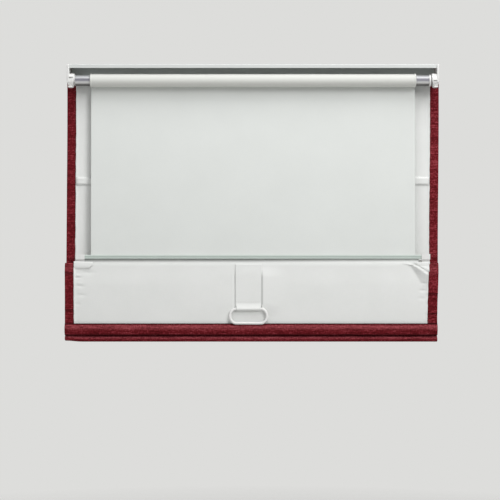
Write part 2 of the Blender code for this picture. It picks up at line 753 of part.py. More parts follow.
def make_pull_strap():
    """Down the skirt, round the ring's top bar and back up on itself."""
    loop = arc((RING_Y, RING_AXIS_Z), RING_LOOP, 0, -math.pi - STRAP_WRAP, TURN_STEPS)
    front_y = STRAP_Y - STRAP_PLY
    meet_z = loop[-1][1] + (front_y - loop[-1][0]) / math.tan(STRAP_WRAP)
    path = [(STRAP_Y, SKIRT_TOP - STRAP_DROP)] + loop
    path += [(front_y, meet_z), (front_y, meet_z + STRAP_TAIL)]
    ribbon("pull_strap", path, STRAP_WIDTH, STRAP_THICKNESS, WHITE_LINING, STRAP_X)


def make_pull_ring():
    """A closed loop with straight top and bottom bars, leaning on the bottom hem."""
    data = bpy.data.curves.new("pull_ring", "CURVE")
    data.dimensions = "3D"
    data.bevel_depth = RING_WIRE
    data.bevel_resolution = 3
    tall = RING_DROP / 2
    wide = (RING_WIDTH - 2 * RING_WIRE - RING_STRAIGHT) / 2
    points = []
    for side in (1, -1):
        for i in range(RING_STEPS + 1):
            angle = math.pi / 2 - math.pi * i / RING_STEPS
            x = side * (RING_STRAIGHT / 2 + wide * math.cos(angle))
            points.append((x, 0, side * tall * math.sin(angle) - tall, 1))
    loop = data.splines.new("POLY")
    loop.points.add(len(points) - 1)
    for point, place in zip(loop.points, points):
        point.co = place
    loop.use_cyclic_u = True
    data.materials.append(WHITE_MOULDING)
    ring = bpy.data.objects.new("pull_ring", data)
    ring.location = (STRAP_X, RING_Y, RING_AXIS_Z)
    lean_out = max(RING_Y - (HEM_FRONT_Y - GAP - RING_WIRE), 0)
    ring.rotation_euler = (-math.asin(lean_out / RING_DROP), 0, 0)
    SHADE.objects.link(ring)


clear_scene()
SHADE = new_collection("roman_shade")
CUTTERS = new_collection("cutters")
RED_LINEN = make_material("red_linen", (0.155, 0.018, 0.024), 0.85)
WHITE_LINING = make_material("white_lining", (0.75, 0.75, 0.74), 0.80)
WHITE_BAND = make_material("white_band", (0.78, 0.79, 0.78), 0.60)
WHITE_MOULDING = make_material("white_moulding", (0.82, 0.82, 0.81), 0.35)
GREY_MOULDING = make_material("grey_moulding", (0.20, 0.20, 0.21), 0.45)
RAIL_PAINT = make_material("rail_paint", (0.62, 0.64, 0.63), 0.40)
ALUMINIUM = make_material("aluminium", (0.52, 0.52, 0.54), 0.35, 0.9)
STEEL = make_material("steel", (0.45, 0.45, 0.46), 0.35, 1.0)
CLEAR_ACRYLIC = make_material("clear_acrylic", (0.80, 0.88, 0.85), 0.10, 0.0, 0.6)
CLEAR_RIB = make_material("clear_rib", (0.80, 0.82, 0.80), 0.30, 0.0, 0.2)

make_headrail()
make_tapes()
make_brackets()
make_tube()
make_roller_ends()
make_spring_drive()
make_lift_band()
make_lift_bar()
make_end_clip("end_clip_left", -1)
make_end_clip("end_clip_right", 1)
make_face_cloth()
make_lining()
make_ribs()
make_bottom_bar()
make_pull_strap()
make_pull_ring()
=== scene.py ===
# %% [markdown]
# # Dressing a roman shade
# The shade hangs from its headrail and is seen from its back, the side that faces away from the room: a
# roller with a white lift band, a clear lift bar, a white lining with ribs, and a dark red linen face cloth
# that is folded up once at the bottom. Most hard pieces keep the packed model's shape and only get their
# finishes here. The lesson models what is soft, which is the two cloths, the lift band, the strap, the rib
# pockets and the stitching, and the moulded pieces that show most, the ring and the end brackets.

# %% Load the packed model
import math
from collections import namedtuple

import bmesh
import bpy
from mathutils import Matrix, Vector, noise


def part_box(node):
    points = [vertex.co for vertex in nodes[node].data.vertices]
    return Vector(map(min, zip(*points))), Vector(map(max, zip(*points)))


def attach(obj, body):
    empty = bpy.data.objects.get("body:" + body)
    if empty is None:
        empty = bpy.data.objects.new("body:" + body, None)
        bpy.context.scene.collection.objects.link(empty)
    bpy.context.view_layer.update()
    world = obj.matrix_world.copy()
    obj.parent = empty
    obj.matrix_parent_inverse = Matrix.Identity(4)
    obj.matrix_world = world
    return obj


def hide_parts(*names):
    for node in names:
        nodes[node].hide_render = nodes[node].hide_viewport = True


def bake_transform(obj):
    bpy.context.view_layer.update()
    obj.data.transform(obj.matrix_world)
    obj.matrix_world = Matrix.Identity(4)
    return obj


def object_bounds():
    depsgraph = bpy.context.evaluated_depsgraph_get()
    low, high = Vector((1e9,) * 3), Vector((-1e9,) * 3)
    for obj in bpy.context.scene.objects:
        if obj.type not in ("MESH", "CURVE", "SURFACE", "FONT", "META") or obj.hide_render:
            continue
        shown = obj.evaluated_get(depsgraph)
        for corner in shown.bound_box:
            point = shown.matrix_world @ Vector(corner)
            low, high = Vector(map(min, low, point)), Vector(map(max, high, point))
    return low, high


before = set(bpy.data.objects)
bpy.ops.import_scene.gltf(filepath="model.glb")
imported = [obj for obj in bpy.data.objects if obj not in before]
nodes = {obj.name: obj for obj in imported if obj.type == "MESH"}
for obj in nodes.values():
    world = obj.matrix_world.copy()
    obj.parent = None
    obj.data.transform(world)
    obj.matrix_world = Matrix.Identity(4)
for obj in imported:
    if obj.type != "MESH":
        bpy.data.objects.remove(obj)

MM = 0.001
cad_low, cad_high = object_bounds()
scene = bpy.context.scene
cad_size = [round((b - a) / MM, 1) for a, b in zip(cad_low, cad_high)]
print("packed model:", len(nodes), "pieces,", cad_size, "mm")

# %% [markdown]
# Shader maths reads best as a formula. A small class wraps one output of a shader node and teaches
# Python's own operators to add the Math nodes, so `1 - mask` or `a * b + c` work on sockets as on numbers.
# Every other node comes from one method, which takes the node's settings and then its sockets.

# %% A socket that can be calculated with
class Socket:
    """One output of a shader node."""

    def __init__(self, tree, output=None):
        self.tree = tree
        self.output = output

    def node(self, kind, sockets=(), settings=(), output=0):
        added = self.tree.nodes.new("ShaderNode" + kind)
        settings = dict(settings)
        stops = settings.pop("stops", None)
        for name, value in settings.items():
            setattr(added, name, value)
        if stops:
            ramp = added.color_ramp
            while len(ramp.elements) < len(stops):
                ramp.elements.new(1.0)
            for element, (place, colour) in zip(ramp.elements, stops):
                element.position = place
                element.color = colour
        for name, value in dict(sockets).items():
            if isinstance(value, Socket):
                self.tree.links.new(value.output, added.inputs[name])
            else:
                added.inputs[name].default_value = value
        return Socket(self.tree, added.outputs[output])

    def maths(self, operation, *values):
        return self.node("Math", enumerate(values), {"operation": operation})

    def __add__(self, other):
        return self.maths("ADD", self, other)

    def __sub__(self, other):
        return self.maths("SUBTRACT", self, other)

    def __rsub__(self, other):
        return self.maths("SUBTRACT", other, self)

    def __mul__(self, other):
        return self.maths("MULTIPLY", self, other)

    def __pow__(self, other):
        return self.maths("POWER", self, other)

    __radd__ = __add__
    __rmul__ = __mul__

    def sine(self):
        return self.maths("SINE", self)

    def size(self):
        return self.maths("ABSOLUTE", self)

    def clamp(self, low=0.0, high=1.0):
        return self.node("Clamp", {0: self, 1: low, 2: high})

    def blend(self, first, second):
        """Between two colours, by this value."""
        return self.node("Mix", {0: self, 6: first, 7: second}, {"data_type": "RGBA"}, 2)

    def stretch(self, across, up, deep):
        """A vector with each of its numbers scaled."""
        return self.node("VectorMath", {0: self, 1: (across, up, deep)}, {"operation": "MULTIPLY"})

    def axis(self, index):
        return self.node("SeparateXYZ", {0: self}, output=index)

    def noise(self, detail=3.0, roughness=0.5):
        return self.node("TexNoise", {"Vector": self, "Scale": 1.0, "Detail": detail, "Roughness": roughness})

    def bump(self, strength, distance):
        return self.node("Bump", {"Height": self, "Strength": strength, "Distance": distance})

    def ramp(self, stops):
        """The colour at this value, between the stops' colours."""
        return self.node("ValToRGB", {"Fac": self}, {"stops": stops})


print("a socket offers", [name for name in vars(Socket) if not name.startswith("_")])

# %% [markdown]
# A shader takes colours as linear light, but an eye picks them on a screen, which raises the middle tones.
# So each colour here is written as its three screen values, from 0 to 255, and turned into light.

# %% Colours
def srgb(red, green, blue):
    """A colour picked on a screen, as the linear light that a shader takes."""
    def linear(value):
        value /= 255
        return value / 12.92 if value <= 0.04045 else ((value + 0.055) / 1.055) ** 2.4

    return (linear(red), linear(green), linear(blue), 1.0)


def darker(colour, share):
    return tuple(share * value for value in colour[:3]) + (1.0,)


print("a screen's middle grey is", round(srgb(128, 128, 128)[0], 3), "of full light")

# %% [markdown]
# Every material starts from the coordinates that its pattern reads. Cloth has a UV map in metres, so that
# the weave follows each fold. A hard piece reads its own place in metres, which needs no unwrapping.

# %% A material that starts from its coordinates
def start_material(name, uv=None):
    """An empty material and the coordinates its pattern reads: its own UV map, or its place in metres."""
    material = bpy.data.materials.new(name)
    material.use_nodes = True
    tree = material.node_tree
    if uv:
        return material, Socket(tree).node("UVMap", settings={"uv_map": uv})
    return material, Socket(tree).node("TexCoord", output="Object")


def finish_material(material, **sockets):
    """Fills the Principled shader: plain numbers on its sockets, patterns as links."""
    tree = material.node_tree
    shader = tree.nodes["Principled BSDF"]
    for name, value in sockets.items():
        socket = shader.inputs[name.replace("_", " ")]
        if isinstance(value, Socket):
            tree.links.new(value.output, socket)
        else:
            socket.default_value = value
    return material


print("a material starts from its coordinates and is finished with its sockets")

# %% [markdown]
# The face cloth is a slubbed linen: a plain weave whose yarns swell and thin along their length. From a
# step away the single threads blur, and what shows is a mottle of short darker and lighter dashes, more
# of them along the weft than along the warp. So the colour is built from noise that is stretched along
# each yarn direction, and the bump carries the weave itself. Both read a UV map in metres of cloth.

# %% Tones of the linen
LINEN_DARK = srgb(80, 8, 14)
LINEN_MIDDLE = srgb(119, 26, 35)
LINEN_LIGHT = srgb(165, 72, 80)
LINEN_SHADOW = srgb(44, 2, 6)
# The next colour is a painted highlight, where light catches the cloth drawn tight.
LINEN_HIGHLIGHT = srgb(176, 92, 99)
LINEN_YARN = 0.9 * MM
print("yarns lie", LINEN_YARN / MM, "mm apart")

# %% Places on the cut linen, in metres
CUT_WIDTH = 0.9590
SIDE_HEM = 23.0 * MM
# Down the cloth, where it is drawn tight and a highlight is painted on it.
HEM_HIGHLIGHT = 1.0645            # over the bottom bar
FOLD_HIGHLIGHT = 0.692            # round the fold
SKIRT_CREST = 0.882             # below the lift rib
# Down the cloth, where shade lies.
HEM_TURN = 1.0450               # round the bottom of the hem
FOLD_HIDDEN = 0.6990            # where the fold goes up behind the hem
HEM_END = 1.0725                # at the hem's sewn edge
# Where a side hem laps over itself, with painted shade under the lap. The second number says which hem,
# -1 for the left one.
LAPS = [(0.9405, 1), (0.9892, 1), (0.8700, 1), (0.9800, -1), (0.8925, -1)]
print("the side hems lap over themselves in", len(LAPS), "places")


# %% The weave, and the shade along the hems
def plain_weave(cloth, pitch):
    """The height of a plain weave whose threads lie this far apart."""
    turn = math.pi / pitch
    across = (cloth.axis(0) * turn).sine()
    along = (cloth.axis(1) * turn).sine()
    return (across * along).size() ** 0.5


def line_across(cloth, place, half_width):
    """1 on a line across the cloth, 0 at this far from it and beyond."""
    return (1 - ((cloth.axis(1) - place) * (1 / half_width)).size()).clamp()


def hem_shadows(cloth):
    """Painted shade along the hems' edges, above the fold and where a side hem laps over itself."""
    across = cloth.axis(0)
    from_edge = {-1: across, 1: CUT_WIDTH - across}
    shade = line_across(cloth, HEM_END, 3.6 * MM) * 1.5
    shade = shade + line_across(cloth, HEM_TURN, 3.4 * MM) + line_across(cloth, FOLD_HIDDEN, 3.0 * MM) * 1.6
    for place, side in LAPS:
        on_hem = (1 - (from_edge[side] - SIDE_HEM) * 900).clamp()
        lap = line_across(cloth, place, 1.5 * MM) + line_across(cloth, place + 3 * MM, 5 * MM) * 0.25
        shade = shade + lap * on_hem
    for near in from_edge.values():
        shade = shade + (1 - (near - 2.0 * MM).size() * 420).clamp() * 0.55
    return shade


print("shade lies at", (HEM_TURN, FOLD_HIDDEN, HEM_END), "m down the cloth")


# %% Slubbed red linen
def red_linen():
    material, cloth = start_material("red_linen", "cloth")
    weft = cloth.stretch(130, 420, 1).noise(3.0, 0.6)
    warp = cloth.stretch(420, 150, 1).noise(3.0, 0.6)
    long_slub = cloth.stretch(26, 300, 1).noise(3.0, 0.6)
    patch = cloth.stretch(14, 14, 1).noise(2.0)
    tone = (weft - 0.5) * 1.3 + (warp - 0.5) * 1.1 + (long_slub - 0.5) * 1.1 + (patch - 0.5) * 0.4
    # Painted highlights where the cloth is drawn over the bottom bar, round the fold and below the rib.
    painted_highlight = line_across(cloth, HEM_HIGHLIGHT, 9 * MM) + line_across(cloth, FOLD_HIGHLIGHT, 4.5 * MM) * 1.2
    painted_highlight = painted_highlight + line_across(cloth, SKIRT_CREST, 20 * MM) * 0.6
    # Painted light: the right side hem is lighter.
    lit_right_hem = ((cloth.axis(0) - 0.90) * 30).clamp()
    dark = (0.30 - tone * 2.4).clamp()
    light = (tone * 2.4 - 0.20 + lit_right_hem * 0.22).clamp()
    colour = dark.blend(LINEN_MIDDLE, LINEN_DARK)
    colour = light.blend(colour, LINEN_LIGHT)
    colour = (painted_highlight * (tone * 0.8 + 0.40)).clamp().blend(colour, LINEN_HIGHLIGHT)
    colour = (hem_shadows(cloth) * 0.85).clamp().blend(colour, LINEN_SHADOW)
    height = plain_weave(cloth, LINEN_YARN) * 0.7 + weft * 0.6 + warp * 0.5 + long_slub * 0.6
    return finish_material(
        material,
        Base_Color=colour,
        Roughness=0.88,
        Specular_IOR_Level=0.12,
        Sheen_Weight=0.06,
        Sheen_Roughness=0.5,
        Sheen_Tint=srgb(214, 120, 120),
        Normal=height.bump(0.6, 0.5 * MM),
    )


RED_LINEN = red_linen()
print("made", RED_LINEN.name)

# %% [markdown]
# The lining is a close white cotton cloth, and the lift band a thinner, smoother one. Both are nearly
# plain, so they live by their weave, a faint unevenness in tone and soft light, not by colour. One
# function makes them both, from the thread's pitch and how strong the weave stands out. Painted shade
# lies in each: on the lining beside the strap and under the lift bar, and on the band where it is wound
# on the tube.

# %% Where shade is painted on the white cloths
STRAP_EDGES = (0.3920, 0.4590)  # across the cut lining, in metres
# The next two places are where shade is painted on the lining: beside the strap, and the bar's shadow.
STRAP_SHADE_PART = (0.908, 0.992)    # down the cut lining, beside the strap
UNDER_BAR = 0.8795              # down the cut lining, in the lift bar's shade
WOUND_LENGTH = 0.352            # of the lift band, round the tube


def painted_lining_shade(cloth):
    """Painted shade: two lines down the skirt, the wider one right of the strap, and one across under the
    bar.
    """
    left, right = ((cloth.axis(0) - edge).size() for edge in STRAP_EDGES)
    lines = (1 - left * 700).clamp() * 0.25 + (1 - right * 330).clamp() * 0.85
    top, end = STRAP_SHADE_PART
    down = cloth.axis(1)
    less_to_the_right = (1.6 - cloth.axis(0) * 1.6).clamp(0.25, 0.95)
    under_bar = (1.9 - (down - UNDER_BAR).size() * 120).clamp() * less_to_the_right
    return lines * ((down - top) * 50).clamp() * (1 - (down - end) * 200).clamp() + under_bar


def painted_roll_shade(cloth):
    """Painted shade on all of the band that is wound on the tube."""
    return (1 - (cloth.axis(1) - WOUND_LENGTH) * 60).clamp()


print("the strap hides", round((STRAP_EDGES[1] - STRAP_EDGES[0]) / MM), "mm between the soiled lines")

# %% White cloths
LINING_WHITE = srgb(240, 241, 239)
LINING_SHADE = srgb(230, 232, 229)
# The next colour is painted shade on the lining.
LINING_PAINTED_SHADE = srgb(184, 185, 183)
BAND_WHITE = srgb(230, 233, 230)
BAND_SHADE = srgb(224, 227, 224)
# The next colour is painted shade on the wound band.
BAND_PAINTED_SHADE = srgb(220, 221, 216)


def white_cloth(name, bright, shade, painted_shade, shaded, pitch, weave, roughness):
    """The function given after the three colours says where painted shade lies, in the last colour."""
    material, cloth = start_material(name, "cloth")
    cloud = cloth.stretch(9, 9, 1).noise(3.0)
    threads = cloth.stretch(60, 1400, 1).noise(2.0) + cloth.stretch(1400, 60, 1).noise(2.0)
    tone = ((cloud - 0.5) * 1.2 + (threads - 1.0) * 0.6 + 0.35).clamp()
    height = plain_weave(cloth, pitch) * 0.6 + threads * 0.5
    return finish_material(
        material,
        Base_Color=shaded(cloth).blend(tone.blend(bright, shade), painted_shade),
        Roughness=roughness,
        Specular_IOR_Level=0.3,
        Sheen_Weight=0.08,
        Sheen_Roughness=0.4,
        Normal=height.bump(weave, 0.2 * MM),
    )


WHITE_LINING = white_cloth(
    "white_lining", LINING_WHITE, LINING_SHADE, LINING_PAINTED_SHADE, painted_lining_shade, 0.45 * MM, 0.35, 0.8
)
WHITE_BAND = white_cloth("white_band", BAND_WHITE, BAND_SHADE, BAND_PAINTED_SHADE, painted_roll_shade, 0.3 * MM, 0.15, 0.6)
print("made", WHITE_LINING.name, "and", WHITE_BAND.name)

# %% [markdown]
# Hard finishes read the Object coordinates, which are metres in the room because every piece lies where
# it was modelled. Moulded plastic has a faint orange peel and a gloss that wanders a little. Painted
# sheet metal is smoother. Drawn aluminium has fine lines along the tube, so its noise is stretched along X.

# %% Moulded plastic
def moulded(name, colour, gloss):
    material, place = start_material(name)
    peel = place.stretch(900, 900, 900).noise(2.0)
    drift = place.stretch(120, 120, 120).noise(2.0)
    mark = (drift - 0.5) * 0.12
    return finish_material(
        material,
        Base_Color=(drift * 1.6 - 0.5).clamp().blend(colour, darker(colour, 0.93)),
        Roughness=mark + gloss,
        Normal=peel.bump(0.06, 0.15 * MM),
    )


WHITE_MOULDING = moulded("white_moulding", srgb(238, 238, 236), 0.34)
GREY_MOULDING = moulded("grey_moulding", srgb(118, 118, 121), 0.48)
print("made", WHITE_MOULDING.name, "and", GREY_MOULDING.name)

# %% Painted rail
RAIL_OUTSIDE = srgb(222, 225, 223)
RAIL_INSIDE = srgb(192, 197, 194)
FLANGE_INSET = 2.0 * MM         # from the flange's outer face to just inside its inner one
FLANGE_DEEP = 1.2 * MM
rail_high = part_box("headrail")[1]


def painted_rail():
    """Satin paint outside, and a darker grey on the inner face of the front flange."""
    material, place = start_material("rail_paint")
    flange_y = rail_high.y - FLANGE_INSET
    past_inner_face = ((place.axis(1) - flange_y) * 4000).clamp()
    past_outer_face = ((place.axis(1) - flange_y - FLANGE_DEEP) * 4000).clamp()
    inside = past_inner_face * (1 - past_outer_face)
    speckle = place.stretch(700, 700, 700).noise(3.0)
    wipe = place.stretch(8, 300, 300).noise(2.0)
    colour = inside.blend(RAIL_OUTSIDE, RAIL_INSIDE)
    return finish_material(
        material,
        Base_Color=(wipe * 0.5).clamp().blend(colour, srgb(186, 190, 188)),
        Roughness=speckle * 0.12 + 0.34,
        Normal=speckle.bump(0.08, 0.1 * MM),
    )


RAIL_PAINT = painted_rail()
print("made", RAIL_PAINT.name)


# %% Drawn metal
def drawn_lines(place):
    return place.stretch(12, 2600, 2600).noise(2.0)


def up_the_piece(place, name, stops):
    """Tones that change from a packed piece's bottom, at 0, to its top, at 1."""
    low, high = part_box(name)
    return ((place.axis(2) - low.z) * (1 / (high.z - low.z))).ramp(stops)


def drawn_metal(name, colour, roughness):
    material, place = start_material(name)
    lines = drawn_lines(place)
    smudge = place.stretch(30, 90, 90).noise(3.0)
    return finish_material(
        material,
        Base_Color=(lines * 0.9 - 0.2).clamp().blend(colour, darker(colour, 0.72)),
        Metallic=1.0,
        Roughness=(smudge - 0.5) * 0.25 + lines * 0.12 + roughness,
        Normal=lines.bump(0.12, 0.1 * MM),
    )


def grooved_tube():
    """Drawn aluminium with painted reflections and shade: bands of tone, darkest at the bottom."""
    material, place = start_material("aluminium")
    lines = drawn_lines(place)
    # Painted reflections and shade, from the tube's bottom at 0 to its top at 1.
    painted_light_bands = [
        (0.00, srgb(76, 76, 74)), (0.12, srgb(110, 110, 108)), (0.22, srgb(226, 226, 224)),
        (0.34, srgb(214, 214, 216)), (0.48, srgb(132, 130, 142)), (0.60, srgb(112, 111, 120)),
        (0.70, srgb(190, 191, 194)), (0.86, srgb(184, 186, 188)), (1.00, srgb(176, 178, 178)),
    ]
    tone = up_the_piece(place, "roller_tube", painted_light_bands)
    return finish_material(
        material,
        Base_Color=(lines * 0.5 - 0.1).clamp().blend(tone, srgb(150, 150, 152)),
        Metallic=0.25,
        Roughness=lines * 0.12 + 0.42,
        Normal=lines.bump(0.12, 0.1 * MM),
    )


ALUMINIUM = grooved_tube()
STEEL = drawn_metal("steel", srgb(176, 177, 178), 0.28)
print("made", ALUMINIUM.name, "and", STEEL.name)

# %% [markdown]
# The lift bar is clear acrylic, which looks green where light has gone a long way through it. The ribs
# are a milky glass fibre. Both pass a little light. The bar's colour is painted in bands from its bottom
# to its top, with a painted highlight along its top edge. The saw leaves fine marks on the bar, which
# roughen it a little.

# %% Clear acrylic and glass fibre
def saw_marks(place):
    return place.stretch(25, 1500, 1500).noise(2.0)


def glass_fibre():
    material, place = start_material("clear_rib")
    streak = saw_marks(place)
    milky = srgb(226, 230, 226)
    return finish_material(
        material,
        Base_Color=(streak * 1.4 - 0.4).clamp().blend(milky, darker(milky, 0.86)),
        Roughness=streak * 0.15 + 0.28,
        IOR=1.49,
        Transmission_Weight=0.35,
        Normal=streak.bump(0.08, 0.1 * MM),
    )


def clear_bar():
    """Acrylic with bands painted on: greener where the slot's bottom lies inside it, a highlight along its
    top.
    """
    material, place = start_material("clear_acrylic")
    streak = saw_marks(place)
    painted_light_bands = [
        (0.00, srgb(196, 208, 200)), (0.12, srgb(226, 236, 230)), (0.34, srgb(214, 226, 219)),
        (0.46, srgb(184, 198, 190)), (0.58, srgb(192, 206, 198)), (0.72, srgb(226, 236, 230)),
        (0.90, srgb(236, 246, 240)), (1.00, srgb(244, 250, 246)),
    ]
    return finish_material(
        material,
        Base_Color=up_the_piece(place, "lift_bar", painted_light_bands),
        Roughness=streak * 0.08 + 0.08,
        IOR=1.49,
        Transmission_Weight=0.18,
        Normal=streak.bump(0.08, 0.1 * MM),
    )


CLEAR_ACRYLIC = clear_bar()
CLEAR_RIB = glass_fibre()
print("made", CLEAR_ACRYLIC.name, "and", CLEAR_RIB.name)

# %% [markdown]
# The two tapes that hold the cloth to the headrail are hook and loop: a field of tiny hooks on one and
# a nap of loops on the other. A cell pattern in the bump stands for both, and sewing thread gets a twist.

# %% Touch tape and thread
def touch_tape():
    material, place = start_material("touch_tape")
    cells = place.node("TexVoronoi", {"Vector": place, "Scale": 900.0})
    fluff = place.stretch(500, 500, 500).noise(3.0)
    return finish_material(
        material,
        Base_Color=(cells * 0.9).clamp().blend(srgb(222, 222, 219), srgb(190, 190, 186)),
        Roughness=0.9,
        Normal=(cells + fluff * 0.5).bump(0.6, 0.4 * MM),
    )


def thread(name, colour):
    material, place = start_material(name)
    twist = place.stretch(2600, 2600, 2600).noise(2.0)
    return finish_material(
        material,
        Base_Color=twist.blend(colour, darker(colour, 0.8)),
        Roughness=0.7,
        Normal=twist.bump(0.4, 0.1 * MM),
    )


TOUCH_TAPE = touch_tape()
RED_THREAD = thread("red_thread", srgb(96, 26, 34))
WHITE_THREAD = thread("white_thread", srgb(206, 207, 204))
print("made", TOUCH_TAPE.name, RED_THREAD.name, WHITE_THREAD.name)

# %% [markdown]
# Now the packed pieces get their finishes. Each node keeps its mesh and place; only the material in its
# slots changes, so a table from finish to nodes is enough.

# %% Finishes of the packed pieces
FINISHES = {
    RAIL_PAINT: ["headrail"],
    TOUCH_TAPE: ["hook_tape", "loop_tape"],
    WHITE_MOULDING: [
        "end_bracket_left", "end_bracket_right", "idler_plug", "roller_end_plug",
        "end_clip_left", "end_clip_right", "pull_ring",
    ],
    GREY_MOULDING: ["brake_hub", "brake_sleeve", "spring_anchor", "drive_plug"],
    ALUMINIUM: ["roller_tube"],
    STEEL: ["end_screw_left", "end_screw_right", "idler_pin", "spring_shaft", "torsion_spring", "bottom_bar"],
    CLEAR_ACRYLIC: ["lift_bar"],
    CLEAR_RIB: ["upper_rib", "middle_rib", "fold_rib", "lift_rib"],
    WHITE_LINING: ["lining", "pull_strap"],
    WHITE_BAND: ["lift_band"],
    RED_LINEN: ["face_cloth"],
}
for finish, names in FINISHES.items():
    for name in names:
        mesh = nodes[name].data
        mesh.materials.clear()
        mesh.materials.append(finish)
print("finished", sum(len(names) for names in FINISHES.values()), "of", len(nodes), "packed pieces")

# %% [markdown]
# Both cloths follow one route: down the room side, round the fold at the bottom, up behind, over the
# lift rib, down again as the skirt and round the bottom hem. Drawing that route once, as straight runs
# and arcs with a unit vector towards the lining's side, keeps every layer parallel to the next: the
# lining, the side hems and the stitches are the same route, moved over by their depth.

# %% Measures of the folded cloth
TURN_STEPS = 14
ROW_PITCH = {"front": 6.0 * MM, "back": 5.0 * MM, "skirt": 2.4 * MM, "return": 1.6 * MM}
CLOTH_THICKNESS = 0.7 * MM
LINING_THICKNESS = 0.5 * MM
LINING_LAYER = 0.9 * MM
HEM_LAYER = 1.6 * MM
FOLD_RADIUS = 8.0 * MM
SKIRT_RADIUS = 3.5 * MM
HEM_RADIUS = 2.5 * MM
SKIRT_RISE = 186.3 * MM
HEM_RISE = 16.4 * MM
HEM_HEIGHT = 28.5 * MM

cloth_low, cloth_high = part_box("face_cloth")
FACE_Y = cloth_high.y - CLOTH_THICKNESS / 2
CLOTH_HALF = cloth_high.x - CLOTH_THICKNESS / 2
CLOTH_TOP = cloth_high.z
FOLD_BOTTOM = cloth_low.z + CLOTH_THICKNESS / 2
BACK_Y = FACE_Y - 2 * FOLD_RADIUS
SKIRT_Y = BACK_Y - 2 * SKIRT_RADIUS
SKIRT_TOP = FOLD_BOTTOM + SKIRT_RISE
HEM_BOTTOM = FOLD_BOTTOM + HEM_RISE
HEM_TOP = HEM_BOTTOM + HEM_HEIGHT
print("skirt from", round(SKIRT_TOP, 4), "down to the hem's top at", round(HEM_TOP, 4))

# %% The route of the cloth
Station = namedtuple("Station", "part y z side_y side_z run")


def route(layer_top):
    """Stations down the cloth, each with its place, the way to the lining's side and the length so far."""
    made = []

    def add(part, y, z, side_y, side_z):
        run = made[-1].run + math.hypot(y - made[-1].y, z - made[-1].z) if made else 0.0
        if not made or run - made[-1].run > 1e-6:
            made.append(Station(part, y, z, side_y, side_z, run))

    def straight(part, y, start, end, side_y):
        steps = max(1, round(abs(end - start) / ROW_PITCH[part]))
        for i in range(steps + 1):
            add(part, y, start + (end - start) * i / steps, side_y, 0)

    def turn(part, y, z, radius, start, end, outside):
        for i in range(TURN_STEPS + 1):
            angle = start + (end - start) * i / TURN_STEPS
            c, s = math.cos(angle), math.sin(angle)
            add(part, y + radius * c, z + radius * s, outside * c, outside * s)

    fold_z = FOLD_BOTTOM + FOLD_RADIUS
    turn_z = SKIRT_TOP - SKIRT_RADIUS
    hem_z = HEM_BOTTOM + HEM_RADIUS
    straight("front", FACE_Y, layer_top, fold_z, -1)
    turn("fold", FACE_Y - FOLD_RADIUS, fold_z, FOLD_RADIUS, 0, -math.pi, -1)
    straight("back", BACK_Y, fold_z, turn_z, 1)
    turn("turn", SKIRT_Y + SKIRT_RADIUS, turn_z, SKIRT_RADIUS, 0, math.pi, 1)
    straight("skirt", SKIRT_Y, turn_z, hem_z, -1)
    turn("hem", SKIRT_Y - HEM_RADIUS, hem_z, HEM_RADIUS, 0, -math.pi, -1)
    straight("return", SKIRT_Y - 2 * HEM_RADIUS, hem_z, HEM_TOP, 1)
    return made


cloth_route = route(CLOTH_TOP)
print("cloth route:", len(cloth_route), "stations,", round(cloth_route[-1].run / MM), "mm long")

# %% [markdown]
# Cloth between battens is never flat. In front it stands a little into the room between the ribs and is
# tight at them. The skirt swells backwards between the lift rib and the bottom bar, lies close under the
# strap, and is drawn into creases at the end clips. These are small vertex moves, written as functions of
# the place on the shade and given to every layer alike, so that no layer cuts the next.

# %% How the front layer swells between its ribs
RIB_BODIES = {"upper_rib": "rib_body", "middle_rib": "lift_stack", "fold_rib": "lift_stack"}
RIB_HEIGHTS = [sum(corner.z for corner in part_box(rib)) / 2 for rib in RIB_BODIES]
RIB_HOLD = 0.035                # the cloth is tight this far above and below a rib
strap_low, strap_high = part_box("pull_strap")
STRAP_X = (strap_low.x + strap_high.x) / 2
STRAP_HALF = (strap_high.x - strap_low.x) / 2
LINING_STAND = 0.6 * MM         # the front layers stand this much clear of the ribs' backs
FRONT_SLACK = 2.0 * MM


def smooth(value, low, high):
    """From 0 at low to 1 at high, with soft ends."""
    t = min(max((value - low) / (high - low), 0.0), 1.0)
    return t * t * (3 - 2 * t)


def ripple(x, z, across, up, seed):
    return noise.noise(Vector((x * across, z * up, seed)))


def front_swell(x, z):
    slack = 1.0
    for rib in RIB_HEIGHTS:
        slack *= 1 - math.exp(-(((z - rib) / RIB_HOLD) ** 2))
    wave = 0.5 + 0.5 * ripple(x, z, 2.6, 4.0, 3.1) + 0.18 * ripple(x, z, 9, 3, 7.7)
    clear = smooth(-z, 0.024, 0.050)
    return clear * (LINING_STAND + FRONT_SLACK * slack * max(wave, 0.0))


print("ribs at", [round(z, 4) for z in RIB_HEIGHTS], "strap at", round(STRAP_X, 4))


# %% Creases and puckers
def fan(x, z, apex_x, apex_z, side, rise, ridge, fall, reach):
    """A crease that fans out from a held point: 1 along its ridge, 0 at its two edges, in degrees down."""
    over = side * (x - apex_x)
    down = apex_z - z
    far = math.hypot(over, down)
    if far < 1e-6:
        return 0.0
    angle = math.degrees(math.atan2(down, over))
    if angle < ridge:
        part = max(0.0, (angle - rise) / (ridge - rise))
    else:
        part = max(0.0, (fall - angle) / (fall - ridge))
    return part * smooth(far, 0, 0.35 * reach) * (1 - smooth(far, 0.6 * reach, reach))


def dent(x, z, at_x, at_z, wide, tall):
    return math.exp(-(((x - at_x) / wide) ** 2) - ((z - at_z) / tall) ** 2)


print("a crease is full at its ridge:", round(fan(0.05, -0.05, 0, 0, 1, 0, 45, 90, 0.2), 2))

